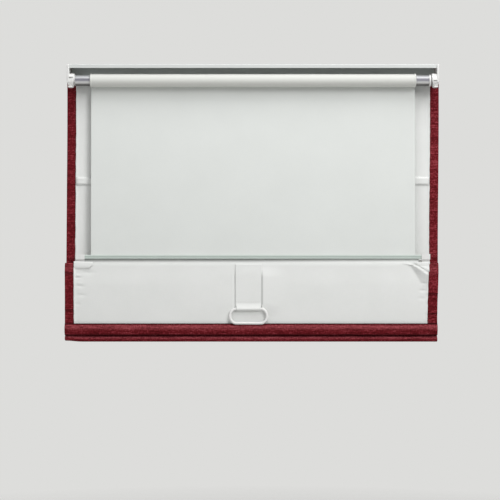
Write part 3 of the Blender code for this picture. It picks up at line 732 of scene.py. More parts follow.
# %% How the skirt stands out
SKIRT_SLACK = 3.0 * MM
CREASE_ROOM = 1.7 * MM          # between the face cloth and the lining's creases
LEFT_TROUGH = 1.3 * MM          # how far the skirt stands out beside the strap
RIGHT_TROUGH = 4.4 * MM
CLIP_CREASE = 9.5 * MM          # height of the long crease that starts at the right end clip
SEWN_PUCKER = 0.8 * MM
PUCKERS = [                     # x, z, how wide, how tall and how deep, along the skirt's sewn edges
    (0.424, -0.531, 7, 2.6, 1.6), (0.421, -0.549, 8, 2.6, 1.4), (0.427, -0.503, 5, 2.2, 1.4),
    (0.420, -0.568, 9, 3.5, 0.8), (-0.424, -0.512, 5, 2.4, -1.5), (-0.423, -0.517, 8, 2.4, 1.6),
    (-0.418, -0.538, 9, 2.8, 1.3), (-0.421, -0.531, 6, 2.4, -1.0), (-0.416, -0.560, 11, 3.2, 1.0),
    (-0.424, -0.582, 6, 3.0, 0.9), (-0.398, -0.505, 14, 4.0, 1.2),
]


def skirt_swell(x, z, under=False):
    """How far the skirt stands out at its back. The cloth under the lining keeps clear of its creases."""
    hang = smooth(SKIRT_TOP - z, 0.004, 0.05) * smooth(z - HEM_TOP, -0.004, 0.10)
    beside = abs(x - STRAP_X) - STRAP_HALF
    loose = smooth(beside, 0.0, 0.09)
    wave = 0.42 + 0.55 * ripple(x, z, 4.2, 3.0, 1.7) + 0.2 * ripple(x, z, 14, 2.2, 5.2)
    stand = SKIRT_SLACK * hang * loose * max(wave, 0.0)
    if under:
        sewn = smooth(abs(x), 0.420, 0.431)
        clear = smooth(abs(x), 0.36, 0.39) * (1 - sewn) * smooth(SKIRT_TOP - z, 0.0, 0.012)
        return stand + sewn * (skirt_swell(x, z) - stand) - CREASE_ROOM * clear
    trough = RIGHT_TROUGH if x > STRAP_X else LEFT_TROUGH
    near = smooth(SKIRT_TOP - z, 0.0, 0.03) * smooth(z - HEM_TOP, 0.015, 0.05)
    stand += trough * smooth(beside, 0.8 * MM, 3.6 * MM) * (1 - smooth(beside, 6 * MM, 70 * MM)) * near
    stand += CLIP_CREASE * fan(x, z, 0.384, SKIRT_TOP + 0.008, side=1, rise=2, ridge=34, fall=58, reach=0.085)
    edge = smooth(abs(x), 0.405, 0.430)
    stand += SEWN_PUCKER * edge * max(ripple(x, z, 40, 95, 9.3), 0.0) * hang
    for at_x, at_z, wide, tall, deep in PUCKERS:
        if abs(x - at_x) < 0.04:
            stand -= deep * MM * dent(x, z, at_x, at_z, wide * MM, tall * MM)
    return stand


print("the skirt stands out", round(skirt_swell(0.2, -0.56) / MM, 1), "mm in the middle of its right half")

# %% How the hems bulge and crease
HEM_SLOPE = 2.6 * MM            # the side hems stand out below the lift rib
HEM_CREASES = [                 # where one bit of a side hem laps over the next: side, height and step
    (1, -0.5558, 2.4), (1, -0.6045, 2.0), (1, -0.510, 1.2), (-1, -0.5953, 2.0), (-1, -0.5085, 1.6),
]
HEM_BULGE = 4.6 * MM            # of the bottom hem over its bar
LOBE_BULGE = 11.0 * MM          # of the fold below the hem


def bottom_bulge(z):
    """The hem is tight at its seam, fullest a third of the way down and pinched in at its bottom."""
    down = (HEM_TOP - 3 * MM - z) / (HEM_HEIGHT - 3 * MM)
    return HEM_BULGE * math.sin(math.pi * min(max(down, 0.0), 1.0) ** 0.75)


def lobe_bulge(z):
    return LOBE_BULGE * (1 - smooth(z, FOLD_BOTTOM + 8.0 * MM, FOLD_BOTTOM + 17 * MM))


def hem_swell(x, z):
    """The side hems of the skirt: they slope out below the rib and carry a few short creases."""
    slope = HEM_SLOPE * smooth(SKIRT_TOP - z, -0.002, 0.022)
    slope *= 1 - smooth(SKIRT_TOP - z, 0.03, 0.09)
    creases = 0.0
    for side, height, deep in HEM_CREASES:
        if side * x > 0:
            off = z - height - 0.04 * (abs(x) - CLOTH_HALF)
            reach = 9.0 * MM if off > 0 else 0.9 * MM
            creases += deep * MM * math.exp(-abs(off) / reach)
    return slope + creases + 0.35 * MM * ripple(x, z, 18, 60, 4.4)


print("the bottom hem bulges", round(bottom_bulge(HEM_TOP - HEM_HEIGHT / 2) / MM, 1), "mm halfway down")


# %% How far each point stands out
def stand_out(x, station, z, under):
    """The move along Y of one point of the cloth: into the room in front, and backwards on the skirt."""
    if station.part == "front":
        return front_swell(x, z)
    if station.part == "fold":
        share = (station.y - BACK_Y) / (2 * FOLD_RADIUS)
        lobe = lobe_bulge(z) * smooth(1 - share, 0.0, 0.9)
        return share * front_swell(x, FOLD_BOTTOM + FOLD_RADIUS) - lobe
    if station.part == "back":
        return -lobe_bulge(z)
    if station.part in ("skirt", "turn"):
        over = smooth(SKIRT_Y + SKIRT_RADIUS - station.y, 0, SKIRT_RADIUS)
        hem = smooth(abs(x), 0.430, 0.436)
        return -over * ((1 - hem) * skirt_swell(x, z, under) + hem * hem_swell(x, z))
    if station.part in ("hem", "return"):
        over = smooth(SKIRT_Y - station.y, 0, 2 * HEM_RADIUS)
        return -over * (bottom_bulge(z) + 0.3 * MM * ripple(x, z, 30, 8, 2.2))
    return 0.0


front_station = next(station for station in cloth_route if station.z < -0.2)
front_stand = stand_out(0, front_station, front_station.z, under=False)
print("the front layer stands out", round(front_stand / MM, 1), "mm a third of the way down")

# %% Where the cloth hangs
SKIRT_SHIFT = -3.0 * MM         # the folded stack hangs a little to the left
FRONT_LEAN = 0.8                # how much of the stack's shift the front layer takes up on its way down
RIGHT_DRAW = 3.8 * MM           # the skirt is drawn in on the right
HIGH_DRAW = 0.25                # share of it at the top of the stack
EDGE_DRAW = 0.65                # and what comes to it just inside the right edge
HEM_HOOD = 4.0 * MM             # the side hems pass over the ends of the lift rib
CORNER_RISE = 2.4 * MM          # the fold's left corner is drawn up


def front_lean(z):
    return FRONT_LEAN * smooth(-z, 0.10, 0.50)


def settle(x, station, y, z, under=False):
    """Moves one point of any layer from the drawn route to where the real cloth hangs."""
    y += stand_out(x, station, z, under)
    folded = 0.0 if station.part == "front" else 1.0
    if station.part == "fold":
        folded = 1 - (station.y - BACK_Y) / (2 * FOLD_RADIUS)
    leaning = folded + (1 - folded) * front_lean(z)
    down = smooth(SKIRT_TOP - z, 0.0, 0.13)
    drawn = (down + HIGH_DRAW * folded * (1 - down)) * smooth(x, 0.25, 0.44)
    drawn += EDGE_DRAW * folded * smooth(x, 0.36, 0.425) * (1 - smooth(x, 0.438, 0.456))
    x -= RIGHT_DRAW * drawn
    if station.part in ("back", "turn", "skirt"):
        near = 1 - smooth(SKIRT_TOP - z, 0.0, 0.045)
        z += HEM_HOOD * smooth(abs(x), 0.4318, 0.4385) * near
    if station.part in ("front", "fold", "back"):
        corner = smooth(-x, 0.415, 0.452) * smooth(FOLD_BOTTOM + 0.05 - z, 0.0, 0.05)
        z += CORNER_RISE * corner
    return x + SKIRT_SHIFT * leaning, y, z


print("at its bottom the front layer leans", round(SKIRT_SHIFT * front_lean(-0.6) / MM, 1), "mm")

# %% [markdown]
# A sheet is a grid of points that is given its thickness by a Solidify modifier, so it is a closed solid
# with real edges. The grid also lays out a UV map in metres of cloth, which the weave reads: the warp
# runs along the route, round every fold, as on cloth that was woven flat.

# %% Selecting, and faces that point outwards
def clear_selection():
    if bpy.context.object and bpy.context.object.mode != "OBJECT":
        bpy.ops.object.mode_set(mode="OBJECT")
    bpy.ops.object.select_all(action="DESELECT")


def activate(obj):
    clear_selection()
    obj.select_set(True)
    bpy.context.view_layer.objects.active = obj


def face_outwards(merge=None):
    """Recalculates the active mesh's normals, after merging points that lie closer than a distance."""
    bpy.ops.object.mode_set(mode="EDIT")
    bpy.ops.mesh.select_all(action="SELECT")
    if merge:
        bpy.ops.mesh.remove_doubles(threshold=merge)
    bpy.ops.mesh.normals_make_consistent(inside=False)
    bpy.ops.object.mode_set(mode="OBJECT")


clear_selection()
print("pieces still selected:", len(bpy.context.selected_objects))


# %% From rows of points to a sheet
def sheet_object(name, rows, thickness, material):
    """rows holds rows of (point, u, v). The result is closed, smooth and at the origin."""
    mesh = bpy.data.meshes.new(name)
    bm = bmesh.new()
    layer = bm.loops.layers.uv.new("cloth")
    grid = [[bm.verts.new(point) for point, u, v in row] for row in rows]
    flat = {}
    for made, row in zip(grid, rows):
        for vert, (point, u, v) in zip(made, row):
            flat[vert] = (u, v)
    for upper, lower in zip(grid, grid[1:]):
        for i in range(len(upper) - 1):
            face = bm.faces.new((upper[i], upper[i + 1], lower[i + 1], lower[i]))
            face.smooth = True
            for loop in face.loops:
                loop[layer].uv = flat[loop.vert]
    bm.to_mesh(mesh)
    bm.free()
    sheet = bpy.data.objects.new(name, mesh)
    scene.collection.objects.link(sheet)
    mesh.materials.append(material)
    activate(sheet)
    wall = sheet.modifiers.new("thickness", "SOLIDIFY")
    wall.thickness = thickness
    wall.offset = 0
    wall.use_even_offset = True
    bpy.ops.object.modifier_apply(modifier=wall.name)
    face_outwards()
    clear_selection()
    print(name, "has", len(sheet.data.polygons), "faces")
    return sheet


def spread(start, end, pitch):
    """Evenly spaced numbers from start to end, no further apart than the pitch."""
    steps = max(1, math.ceil(abs(end - start) / pitch))
    return [start + (end - start) * i / steps for i in range(steps + 1)]


def lengths(points):
    """How far along a line of points each of them lies, by their first two numbers."""
    runs = [0.0]
    for first, second in zip(points, points[1:]):
        runs.append(runs[-1] + math.dist(first[:2], second[:2]))
    return runs


print("a side hem needs", len(spread(0, SIDE_HEM, 2.2 * MM)), "columns of points")

# %% [markdown]
# The lift joint shortens or lengthens the shade above the lift bar. Whatever hangs there is fixed to the
# head at its top and to the folded stack at its bottom; the middle of that stretch is the upper rib. Here
# such a piece only has its place baked into its mesh.


def hang(piece):
    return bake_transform(piece)


# %% [markdown]
# The face cloth is cut wider than the shade and turned in at both sides. Seen from the back, those side
# hems and the bottom hem are all of it that shows. So each row of the grid starts at the left hem's
# inner edge, runs out on the hem's layer, rounds the edge, crosses the whole front and returns on the right.

# %% Columns of the face cloth
HEM_INNER = CLOTH_HALF - SIDE_HEM
HEM_COLUMN = 2.2 * MM
FACE_COLUMN = 8 * MM
EDGE_STEPS = 6
HEM_WAVER = 0.5 * MM


def face_columns():
    """(x, depth towards the lining, place along the cut cloth) for one row, from left to right."""
    turn = HEM_LAYER / 2
    half = [(x, HEM_LAYER) for x in spread(HEM_INNER, CLOTH_HALF - turn, HEM_COLUMN)]
    for i in range(1, EDGE_STEPS):
        angle = math.pi * i / EDGE_STEPS
        half.append((CLOTH_HALF - turn + turn * math.sin(angle), turn + turn * math.cos(angle)))
    middle = [(x, 0.0) for x in spread(-CLOTH_HALF + turn, CLOTH_HALF - turn, FACE_COLUMN)]
    columns = [(-x, depth) for x, depth in half] + middle + list(reversed(half))
    return [(x, depth, across) for (x, depth), across in zip(columns, lengths(columns))]


def hem_waver(x, station, depth):
    """The turned-in edge isn't cut quite straight."""
    inner = 1 - smooth(abs(x), HEM_INNER, HEM_INNER + 0.008)
    if depth < HEM_LAYER * 0.99:
        return 0.0
    return math.copysign(HEM_WAVER, x) * inner * ripple(station.run, x, 30, 1, 6.6)


print("a row of the face cloth has", len(face_columns()), "points")


# %% Face cloth
def face_cloth():
    columns = face_columns()
    rows = []
    for station in cloth_route:
        row = []
        for x, depth, across in columns:
            y = station.y + depth * station.side_y
            z = station.z + depth * station.side_z
            place = settle(x + hem_waver(x, station, depth), station, y, z, under=True)
            row.append((place, across, station.run))
        rows.append(row)
    cut = (columns[-1][2], cloth_route[-1].run)
    return sheet_object("linen_face", rows, CLOTH_THICKNESS, RED_LINEN), cut


linen_face, face_cut = face_cloth()
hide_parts("face_cloth")
hang(linen_face)
print("face cloth cut", [round(side, 3) for side in face_cut], "m")

# %% [markdown]
# The lining lies behind the face cloth and its edges are sewn down over the side hems, so they stand a
# little proud of them and waver. Over the lift rib the lining makes a hood, cut back at both ends for the
# clips. On the skirt it is the large white field of the picture, down into the bottom hem.

# %% The lining's route
LINING_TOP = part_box("lining")[1].z
LINING_HALF = CLOTH_HALF - SIDE_HEM + 1.6 * MM
LINING_TUCK = 7.5 * MM          # how far it goes under the bottom hem
NOTCHED_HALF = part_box("end_clip_right")[0].x - 1.2 * MM
HOOD_WIDE = SKIRT_RADIUS + LINING_LAYER
HOOD_OVER_RIB = 1.3 * MM
HOOD_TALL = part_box("lift_rib")[1].z + HOOD_OVER_RIB + LINING_THICKNESS / 2 - (SKIRT_TOP - SKIRT_RADIUS)
HOOD_FULLNESS = 0.8             # exponents of the hood's round: towards the skirt, and towards the room
HOOD_RISE = 0.35
HOOD_LEAN = 10.2 * MM           # the hood is drawn up towards the room, behind the lift bar
CORNER_FLAP = 0.86              # the skirt's corners reach this far round the hood, as a share of its turn


def lining_route():
    """The cloth's route at the lining's depth, with the hood over the lift rib in place of the turn."""
    made = []
    end_z = HEM_TOP - LINING_TUCK
    turn_z = SKIRT_TOP - SKIRT_RADIUS
    for station in route(LINING_TOP):
        if station.part in ("hem", "return") or (station.part == "skirt" and station.z < end_z):
            continue
        y = station.y + LINING_LAYER * station.side_y
        z = station.z + LINING_LAYER * station.side_z
        half = LINING_HALF
        if station.part == "turn":
            c, s = station.side_y, max(station.side_z, 0.0)
            y = SKIRT_Y + SKIRT_RADIUS + HOOD_WIDE * math.copysign(abs(c) ** HOOD_FULLNESS, c)
            lean = HOOD_LEAN * smooth(c, 0.0, 0.75)
            z = turn_z + (HOOD_TALL + lean) * s ** (HOOD_FULLNESS if c < 0 else HOOD_RISE)
            angle = math.atan2(station.side_z, station.side_y) / math.pi
            half = LINING_HALF if angle > CORNER_FLAP else NOTCHED_HALF
        run = made[-1][3] + math.hypot(y - made[-1][1], z - made[-1][2]) if made else 0.0
        made.append((station, y, z, run, half))
    return made


print("the hood is", round(HOOD_TALL / MM, 1), "mm tall, over", len(lining_route()), "stations of lining")

# %% The lining's sewn edges, and its columns
EDGE_LIFT = 1.35 * MM
EDGE_PUCKER = 0.35 * MM
EDGE_WAVER = 0.9 * MM


def lining_edge(x, half, run):
    """How far the sewn edge lifts off the hem under it, and how far it wavers sideways."""
    near = smooth(abs(x), half - 5 * MM, half - 1.5 * MM)
    lift = EDGE_LIFT * near
    pucker = EDGE_PUCKER * near * ripple(run, x, 140, 3, 8.1)
    waver = math.copysign(EDGE_WAVER, x) * near * ripple(run, 0.3 * math.copysign(1, x), 70, 1, 2.9)
    return lift + pucker, waver


def lining_shares():
    """Columns as shares of the half width, closest at the sewn edges and beside the strap."""
    shares = []
    edges = [(STRAP_X + side * STRAP_HALF) / LINING_HALF for side in (-1, 1)]
    marks = [(-1.0, 0.0052), (-0.85, 0.019), (edges[0] - 0.016, 0.0026), (edges[0] + 0.004, 0.019)]
    marks += [(edges[1] - 0.004, 0.0026), (edges[1] + 0.016, 0.019), (0.85, 0.0052), (1.0, 0.0)]
    for (start, pitch), (stop, _) in zip(marks, marks[1:]):
        shares += spread(start, stop, pitch)[:-1]
    return shares + [1.0]


print("a row of the lining has", len(lining_shares()), "points")


# %% Lining
def lining_sheet():
    rows = []
    shares = lining_shares()
    stations = lining_route()
    for station, y, z, run, half in stations:
        row = []
        for share in shares:
            x = share * half
            lift, waver = lining_edge(x, half, run)
            sewn = 0.0 if station.part == "turn" else 1.0
            place = settle(
                x + waver * sewn,
                station,
                y + sewn * lift * station.side_y,
                z + sewn * lift * station.side_z,
            )
            row.append((place, x + half, run))
        rows.append(row)
    cut = (2 * LINING_HALF, stations[-1][3])
    return sheet_object("cotton_lining", rows, LINING_THICKNESS, WHITE_LINING), cut


cotton_lining, lining_cut = lining_sheet()
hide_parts("lining")
hang(cotton_lining)
print("lining cut", [round(side, 3) for side in lining_cut], "m")

# %% [markdown]
# At its two top corners the skirt's lining is turned over and drawn across the eyes of the end clips. On
# the left it bunches into a short ledge with shade below; on the right it is pulled to a slanting fold.

# %% Turned corners of the lining
FLAP_STEPS = 16


def turned_corner(name, side, outer, inner, top, bottom, fullness):
    """A flap from its sewn outer end to its free inner end. The last three take the share along it."""
    rows = []
    for j in range(FLAP_STEPS + 1):
        down = j / FLAP_STEPS
        row = []
        for x in spread(outer, inner, 1.5 * MM):
            along = (x - outer) / (inner - outer)
            low = bottom(along)
            z = top(along) + (low - top(along)) * down
            skirt_y = SKIRT_Y - LINING_LAYER - skirt_swell(x, min(z, SKIRT_TOP - 2 * MM))
            sunk = max(smooth(down, 0.82, 1.0), smooth(along, 0.92, 1.0))
            lie = min(skirt_y, 0.1 * MM) - (0.75 - 0.5 * sunk) * MM
            stand = fullness(along) * (0.25 + 0.75 * math.sin(math.pi * (0.15 + 0.65 * down)))
            tuck = 1.9 * MM * smooth(down, 0.80, 1.0) + 0.8 * MM * (1 - smooth(down, 0.0, 0.12))
            fold = 0.8 * MM * ripple(x + 0.6 * z, z, 60, 150, 5.5 + side)
            fold *= smooth(down, 0, 0.3) * (1 - down)
            row.append(((x, lie - stand + min(tuck, stand) + fold, z), abs(x), z))
        rows.append(row if side < 0 else row[::-1])
    flap = sheet_object(name, rows, LINING_THICKNESS, WHITE_LINING)
    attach(flap, "lift_stack")
    drops = [top(i / 20) - bottom(i / 20) for i in range(21)]
    cut = (abs(outer - inner), max(drops) + 3 * MM)
    area = cut[0] * (sum(drops) / len(drops) + 2 * MM)
    print(name, "cut", [round(side / MM, 1) for side in cut], "mm")


turned_corner(
    "lining_corner_left", -1, -0.4365, -0.3905,
    top=lambda along: -0.4775 - 0.0015 * along,
    bottom=lambda along: -0.4955 - 0.0010 * math.sin(4 * along) + 0.0060 * smooth(along, 0.80, 1.0),
    fullness=lambda along: (2.2 + 1.2 * along) * MM * (1 - smooth(along, 0.90, 1.0) * 0.6),
)
turned_corner(
    "lining_corner_right", 1, 0.4285, 0.3880,
    top=lambda along: -0.4790 - 0.0010 * along,
    bottom=lambda along: -0.5030 + 0.0225 * along,
    fullness=lambda along: 0.9 * MM * (1 - along),
)

# %% [markdown]
# Each flat rib sits in a pocket, a narrow tape of lining cloth sewn on along its two edges. The pockets
# of the folded stack ride with it, and the upper one rides with its own rib, so it stays as high as the
# rib at every height of the shade.

# %% Rib pockets
POCKET_HALF_HEIGHT = 10.5 * MM
POCKET_THICKNESS = 0.45 * MM
POCKET_ROWS = 8                 # on each side of the rib's middle
POCKET_COLUMN = 7 * MM
POCKET_INSET = 1.2 * MM         # from the lining's edge
POCKET_WAVE = 0.3 * MM
LINING_BACK_Y = FACE_Y + LINING_STAND - LINING_LAYER - LINING_THICKNESS / 2


def rib_pocket(rib, body):
    low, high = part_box(rib)
    middle = (low.z + high.z) / 2
    tall = (high.z - low.z) / 2
    flat_y = LINING_BACK_Y - POCKET_THICKNESS / 2 - 0.1 * MM
    proud_y = low.y - 0.3 * MM - POCKET_THICKNESS / 2
    section = []
    for i in range(2 * POCKET_ROWS + 1):
        height = POCKET_HALF_HEIGHT * (1 - i / POCKET_ROWS)
        over = 1 - smooth(abs(height), tall + 0.6 * MM, tall + 3.2 * MM)
        section.append((flat_y + (proud_y - flat_y) * over, middle + height))
    rows = []
    for (y, z), run in zip(section, lengths(section)):
        row = []
        for x in spread(-LINING_HALF + POCKET_INSET, LINING_HALF - POCKET_INSET, POCKET_COLUMN):
            held = min(1.0, max(0.0, (LINING_HALF - abs(x)) / (9 * MM)))
            wave = POCKET_WAVE * ripple(x, z, 22, 30, middle * 10)
            wave *= 1 if abs(z - middle) < tall else 0.3
            edge = flat_y - 1.3 * MM * (1 - held)
            proud = edge + (y - flat_y) * (0.55 + 0.45 * held) - abs(wave)
            row.append(((x + SKIRT_SHIFT * front_lean(middle), proud, z), x, run))
        rows.append(row)
    pocket = sheet_object(rib + "_pocket", rows, POCKET_THICKNESS, WHITE_LINING)
    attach(pocket, body)
    print(pocket.name, "is", round(run / MM, 1), "mm high when flat")


for rib, body in RIB_BODIES.items():
    rib_pocket(rib, body)

# %% [markdown]
# The lift band is wound on the tube and hangs from the roll's room side into the slot of the lift bar.
# Its two edges are hemmed, so they build up thicker on the roll and show as a white rounded rim at each
# end. The spiral is worked out turn by turn, and the hanging part curves very slightly from edge to edge.

# %% Measures of the roll
ROLL_TURNS = 4
ROLL_STEPS = 36
BAND_THICKNESS = 0.3 * MM
BAND_PITCH = 0.6 * MM           # the roll grows by this much a turn
BAND_HEM = 4.0 * MM
BAND_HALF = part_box("lift_band")[1].x
bar_low, bar_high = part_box("lift_bar")
tube_low, tube_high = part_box("roller_tube")
AXIS_Y = (tube_low.y + tube_high.y) / 2
AXIS_Z = (tube_low.z + tube_high.z) / 2
ROLL_START = (tube_high.z - tube_low.z) / 2 + 0.6 * MM
SLOT_DEPTH = 5.6 * MM           # how far the band goes into the lift bar
BAND_END_Y = (bar_low.y + bar_high.y) / 2
print("the roll is", round(2 * (ROLL_START + ROLL_TURNS * BAND_PITCH) / MM, 1), "mm thick")


# %% Lift band
def band_route():
    """(y, z, outward y, outward z) round the roll from the tube outwards, then straight down."""
    made = []
    count = ROLL_TURNS * ROLL_STEPS
    for i in range(count + 1):
        angle = 2 * math.pi * (count - i) / ROLL_STEPS
        radius = ROLL_START + BAND_PITCH * i / ROLL_STEPS
        c, s = math.cos(angle), math.sin(angle)
        made.append((AXIS_Y + radius * c, AXIS_Z + radius * s, c, s))
    top_y, top_z = made[-1][:2]
    for z in spread(top_z, bar_high.z, 9 * MM)[1:]:
        share = (z - top_z) / (bar_high.z - top_z)
        made.append((top_y + (BAND_END_Y - top_y) * share, z, 1, 0))
    made.append((BAND_END_Y, bar_high.z - SLOT_DEPTH, 1, 0))
    return made


def band_columns():
    rim = spread(-BAND_HALF, -BAND_HALF + BAND_HEM + 1 * MM, 0.7 * MM)
    middle = spread(rim[-1], -rim[-1], 9 * MM)
    return rim + middle[1:-1] + [-x for x in reversed(rim)]


def band_swell(x, z, hanging):
    inward = BAND_HALF - abs(x)
    rim = smooth(inward, 0.0, 0.8 * MM) * (1 - smooth(inward, BAND_HEM - 1.0 * MM, BAND_HEM))
    if not hanging:
        return 0.75 * MM * rim + 0.10 * MM * ripple(x, z, 60, 10, 1.1)
    slack = smooth(AXIS_Z - z, 0.0, 0.08) * smooth(z - bar_high.z, 0.0, 0.05)
    return 0.12 * MM * rim + slack * (0.7 * MM * ripple(x, z, 3.5, 2.5, 4.8) - 0.35 * MM)


def band_sheet():
    rows, path = [], band_route()
    for i, ((y, z, out_y, out_z), run) in enumerate(zip(path, lengths(path))):
        hanging = i > ROLL_TURNS * ROLL_STEPS
        row = []
        for x in band_columns():
            swell = band_swell(x, z, hanging)
            row.append(((x, y + swell * out_y, z + swell * out_z), x, run))
        rows.append(row)
    return sheet_object("wound_lift_band", rows, BAND_THICKNESS, WHITE_BAND), (2 * BAND_HALF, run)


wound_band, band_cut = band_sheet()
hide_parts("lift_band")
hang(wound_band)
print("lift band cut", [round(side, 3) for side in band_cut], "m")

# %% [markdown]
# The strap is sewn under the top of the skirt, goes down, round the ring's top bar and back up on itself.
# It is a double width of lining cloth, so it is drawn as one sheet with the loop in it. A faint buckle
# above the ring, where hands pull, keeps it from looking like card.

# %% Measures of the strap
STRAP_THICKNESS = 0.7 * MM
STRAP_PLY = 1.2 * MM
STRAP_WRAP = math.radians(32)
STRAP_TAIL = 20.0 * MM
STRAP_GATHER = 0.085            # narrower where it goes round the ring, clear of the ring's corners
STRAP_TOP = strap_high.z + 8.0 * MM
ring_low, ring_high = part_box("pull_ring")
RING_WIRE = 3.25 * MM
RING_AXIS_Z = ring_high.z - RING_WIRE
STRAP_Y = strap_high.y - STRAP_THICKNESS / 2
LOOP_RADIUS = RING_WIRE + 0.3 * MM + STRAP_THICKNESS / 2
RING_Y = STRAP_Y - LOOP_RADIUS
LOOP_STEPS = 20
STRAP_BUCKLE = 0.55 * MM
STRAP_CURL = 0.35 * MM
print("the strap hangs from", round(STRAP_TOP, 4), "to the ring's bar at", round(RING_AXIS_Z, 4))


# %% Pull strap
def strap_route():
    loop = []
    for i in range(LOOP_STEPS + 1):
        angle = -(math.pi + STRAP_WRAP) * (LOOP_STEPS - i) / LOOP_STEPS
        loop.append((RING_Y + LOOP_RADIUS * math.cos(angle), RING_AXIS_Z + LOOP_RADIUS * math.sin(angle)))
    outer_y = STRAP_Y - STRAP_PLY
    meet_z = loop[0][1] + (outer_y - loop[0][0]) / math.tan(STRAP_WRAP)
    made = []
    for z in spread(STRAP_TOP, meet_z, 3 * MM):
        made.append((outer_y + STRAP_PLY * smooth(z, STRAP_TOP - 30 * MM, STRAP_TOP), z))
    made += loop
    made += [(STRAP_Y, RING_AXIS_Z + STRAP_TAIL * i / 5) for i in range(1, 6)]
    return made


def strap_sheet():
    rows, path = [], strap_route()
    for (y, z), run in zip(path, lengths(path)):
        row = []
        for x in spread(-STRAP_HALF, STRAP_HALF, 2 * MM):
            flat = smooth(STRAP_TOP - z, 0.0, 0.02) * smooth(z - RING_AXIS_Z, 0.008, 0.03)
            if y > STRAP_Y - 0.1 * MM:
                flat = 0.0
            buckle = STRAP_BUCKLE * flat * max(ripple(x, z - 0.5 * x, 30, 45, 6.2), -0.1)
            curl = STRAP_CURL * flat * smooth(abs(x), STRAP_HALF - 3 * MM, STRAP_HALF)
            gathered = 1 - STRAP_GATHER * smooth(RING_AXIS_Z + 14 * MM - z, 0.0, 0.012)
            row.append(((STRAP_X + x * gathered, y - buckle - curl, z), x, run))
        rows.append(row)
    return sheet_object("cotton_pull_strap", rows, STRAP_THICKNESS, WHITE_LINING), (2 * STRAP_HALF, run)


pull_strap, strap_cut = strap_sheet()
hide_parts("pull_strap")
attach(pull_strap, "lift_stack")
print("strap cut", [round(side, 3) for side in strap_cut], "m")

# %% [markdown]
# The ring is a moulded plastic loop with straight bars at top and bottom. It starts as a circle
# of points: its right half is pulled away from its left half, which draws out the two straight bars, and
# the round ends are pressed a little narrower. As a curve with a round bevel it then gets its thickness.

# %% Pull ring
RING_STRAIGHT = 60.0 * MM
RING_CORNERS = 64


def pull_ring():
    drop = ring_high.z - ring_low.z - 2 * RING_WIRE
    out = ring_high.y - ring_low.y - 2 * RING_WIRE
    lean = math.atan2(out, drop)
    tall = math.hypot(out, drop) / 2
    wide = (ring_high.x - ring_low.x - 2 * RING_WIRE - RING_STRAIGHT) / 2
    centre = Vector((STRAP_X, RING_Y, RING_AXIS_Z - tall))
    clear_selection()
    bpy.ops.mesh.primitive_circle_add(
        vertices=RING_CORNERS, radius=tall, location=centre, rotation=(math.pi / 2, math.pi / RING_CORNERS, 0)
    )
    ring = bpy.context.object
    ring.name = ring.data.name = "moulded_pull_ring"
    bpy.ops.object.transform_apply(location=True, rotation=True, scale=True)
    for vert in ring.data.vertices:
        over = vert.co.x - centre.x
        vert.co.x = centre.x + over * wide / tall + math.copysign(RING_STRAIGHT / 2, over)
    bpy.ops.object.mode_set(mode="EDIT")
    bpy.ops.mesh.select_all(action="SELECT")
    bpy.ops.transform.rotate(value=lean, orient_axis="X", center_override=(STRAP_X, RING_Y, RING_AXIS_Z))
    bpy.ops.object.mode_set(mode="OBJECT")
    bpy.ops.object.convert(target="CURVE")
    ring.data.bevel_depth = RING_WIRE
    ring.data.bevel_resolution = 6
    bpy.ops.object.convert(target="MESH")
    face_outwards(merge=0.01 * MM)
    bpy.ops.object.shade_smooth()
    ring.data.materials.append(WHITE_MOULDING)
    clear_selection()
    return ring


ring = pull_ring()
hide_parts("pull_ring")
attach(ring, "ring")

# %% [markdown]
# An end bracket is moulded in one piece: a plate beside the headrail with a thumb nub on top, a round boss
# that narrows downwards, a slot across it for a screwdriver, a brow over the slot, a foot under the boss
# and a tab that is screwed up under the headrail. Each form is a primitive whose sharp edges are rounded
# by a Bevel modifier, and the boss has its lower points moved in. Boolean modifiers then join the forms and
# cut the slot, the bore and the screw hole.

# %% Tools for moulded pieces
BEVEL_SEGMENTS = 4
BEVEL_ANGLE = math.radians(40)  # only edges that turn more than this are rounded


def solid_box(low, high, bevel):
    clear_selection()
    middle = (Vector(low) + Vector(high)) / 2
    bpy.ops.mesh.primitive_cube_add(size=1, location=middle)
    bpy.context.object.scale = [abs(b - a) for a, b in zip(low, high)]
    bpy.ops.object.transform_apply(location=True, rotation=True, scale=True)
    return bevelled(bpy.context.object, bevel)


def solid_rod(start_x, end_x, y, z, radius, bevel):
    clear_selection()
    bpy.ops.mesh.primitive_cylinder_add(
        vertices=64, radius=radius, depth=abs(end_x - start_x), location=((start_x + end_x) / 2, y, z),
        rotation=(0, math.pi / 2, 0),
    )
    bpy.ops.object.transform_apply(location=True, rotation=True, scale=True)
    return bevelled(bpy.context.object, bevel)


def bevelled(piece, width):
    if width:
        edge = piece.modifiers.new("edge", "BEVEL")
        edge.width = width
        edge.segments = BEVEL_SEGMENTS
        edge.limit_method = "ANGLE"
        edge.angle_limit = BEVEL_ANGLE
        bpy.ops.object.modifier_apply(modifier=edge.name)
    return piece


def join_or_cut(piece, other, operation):
    step = piece.modifiers.new(operation.title(), "BOOLEAN")
    step.operation = operation
    step.object = other
    activate(piece)
    bpy.ops.object.modifier_apply(modifier=step.name)
    bpy.data.objects.remove(other)


print("edges are rounded by", BEVEL_SEGMENTS, "strips of faces")

# %% Forms of an end bracket
BOSS_RADIUS = 17.4 * MM
BOSS_NARROWED = 0.34            # share of its length that the boss loses on the way down
RAIL_HALF = rail_high.x
BOSS_FACE = RAIL_HALF - 11.5 * MM
TAB_TOP = -1.8 * MM
NUB_Z = -5.2 * MM
NUB_RADIUS = 2.3 * MM


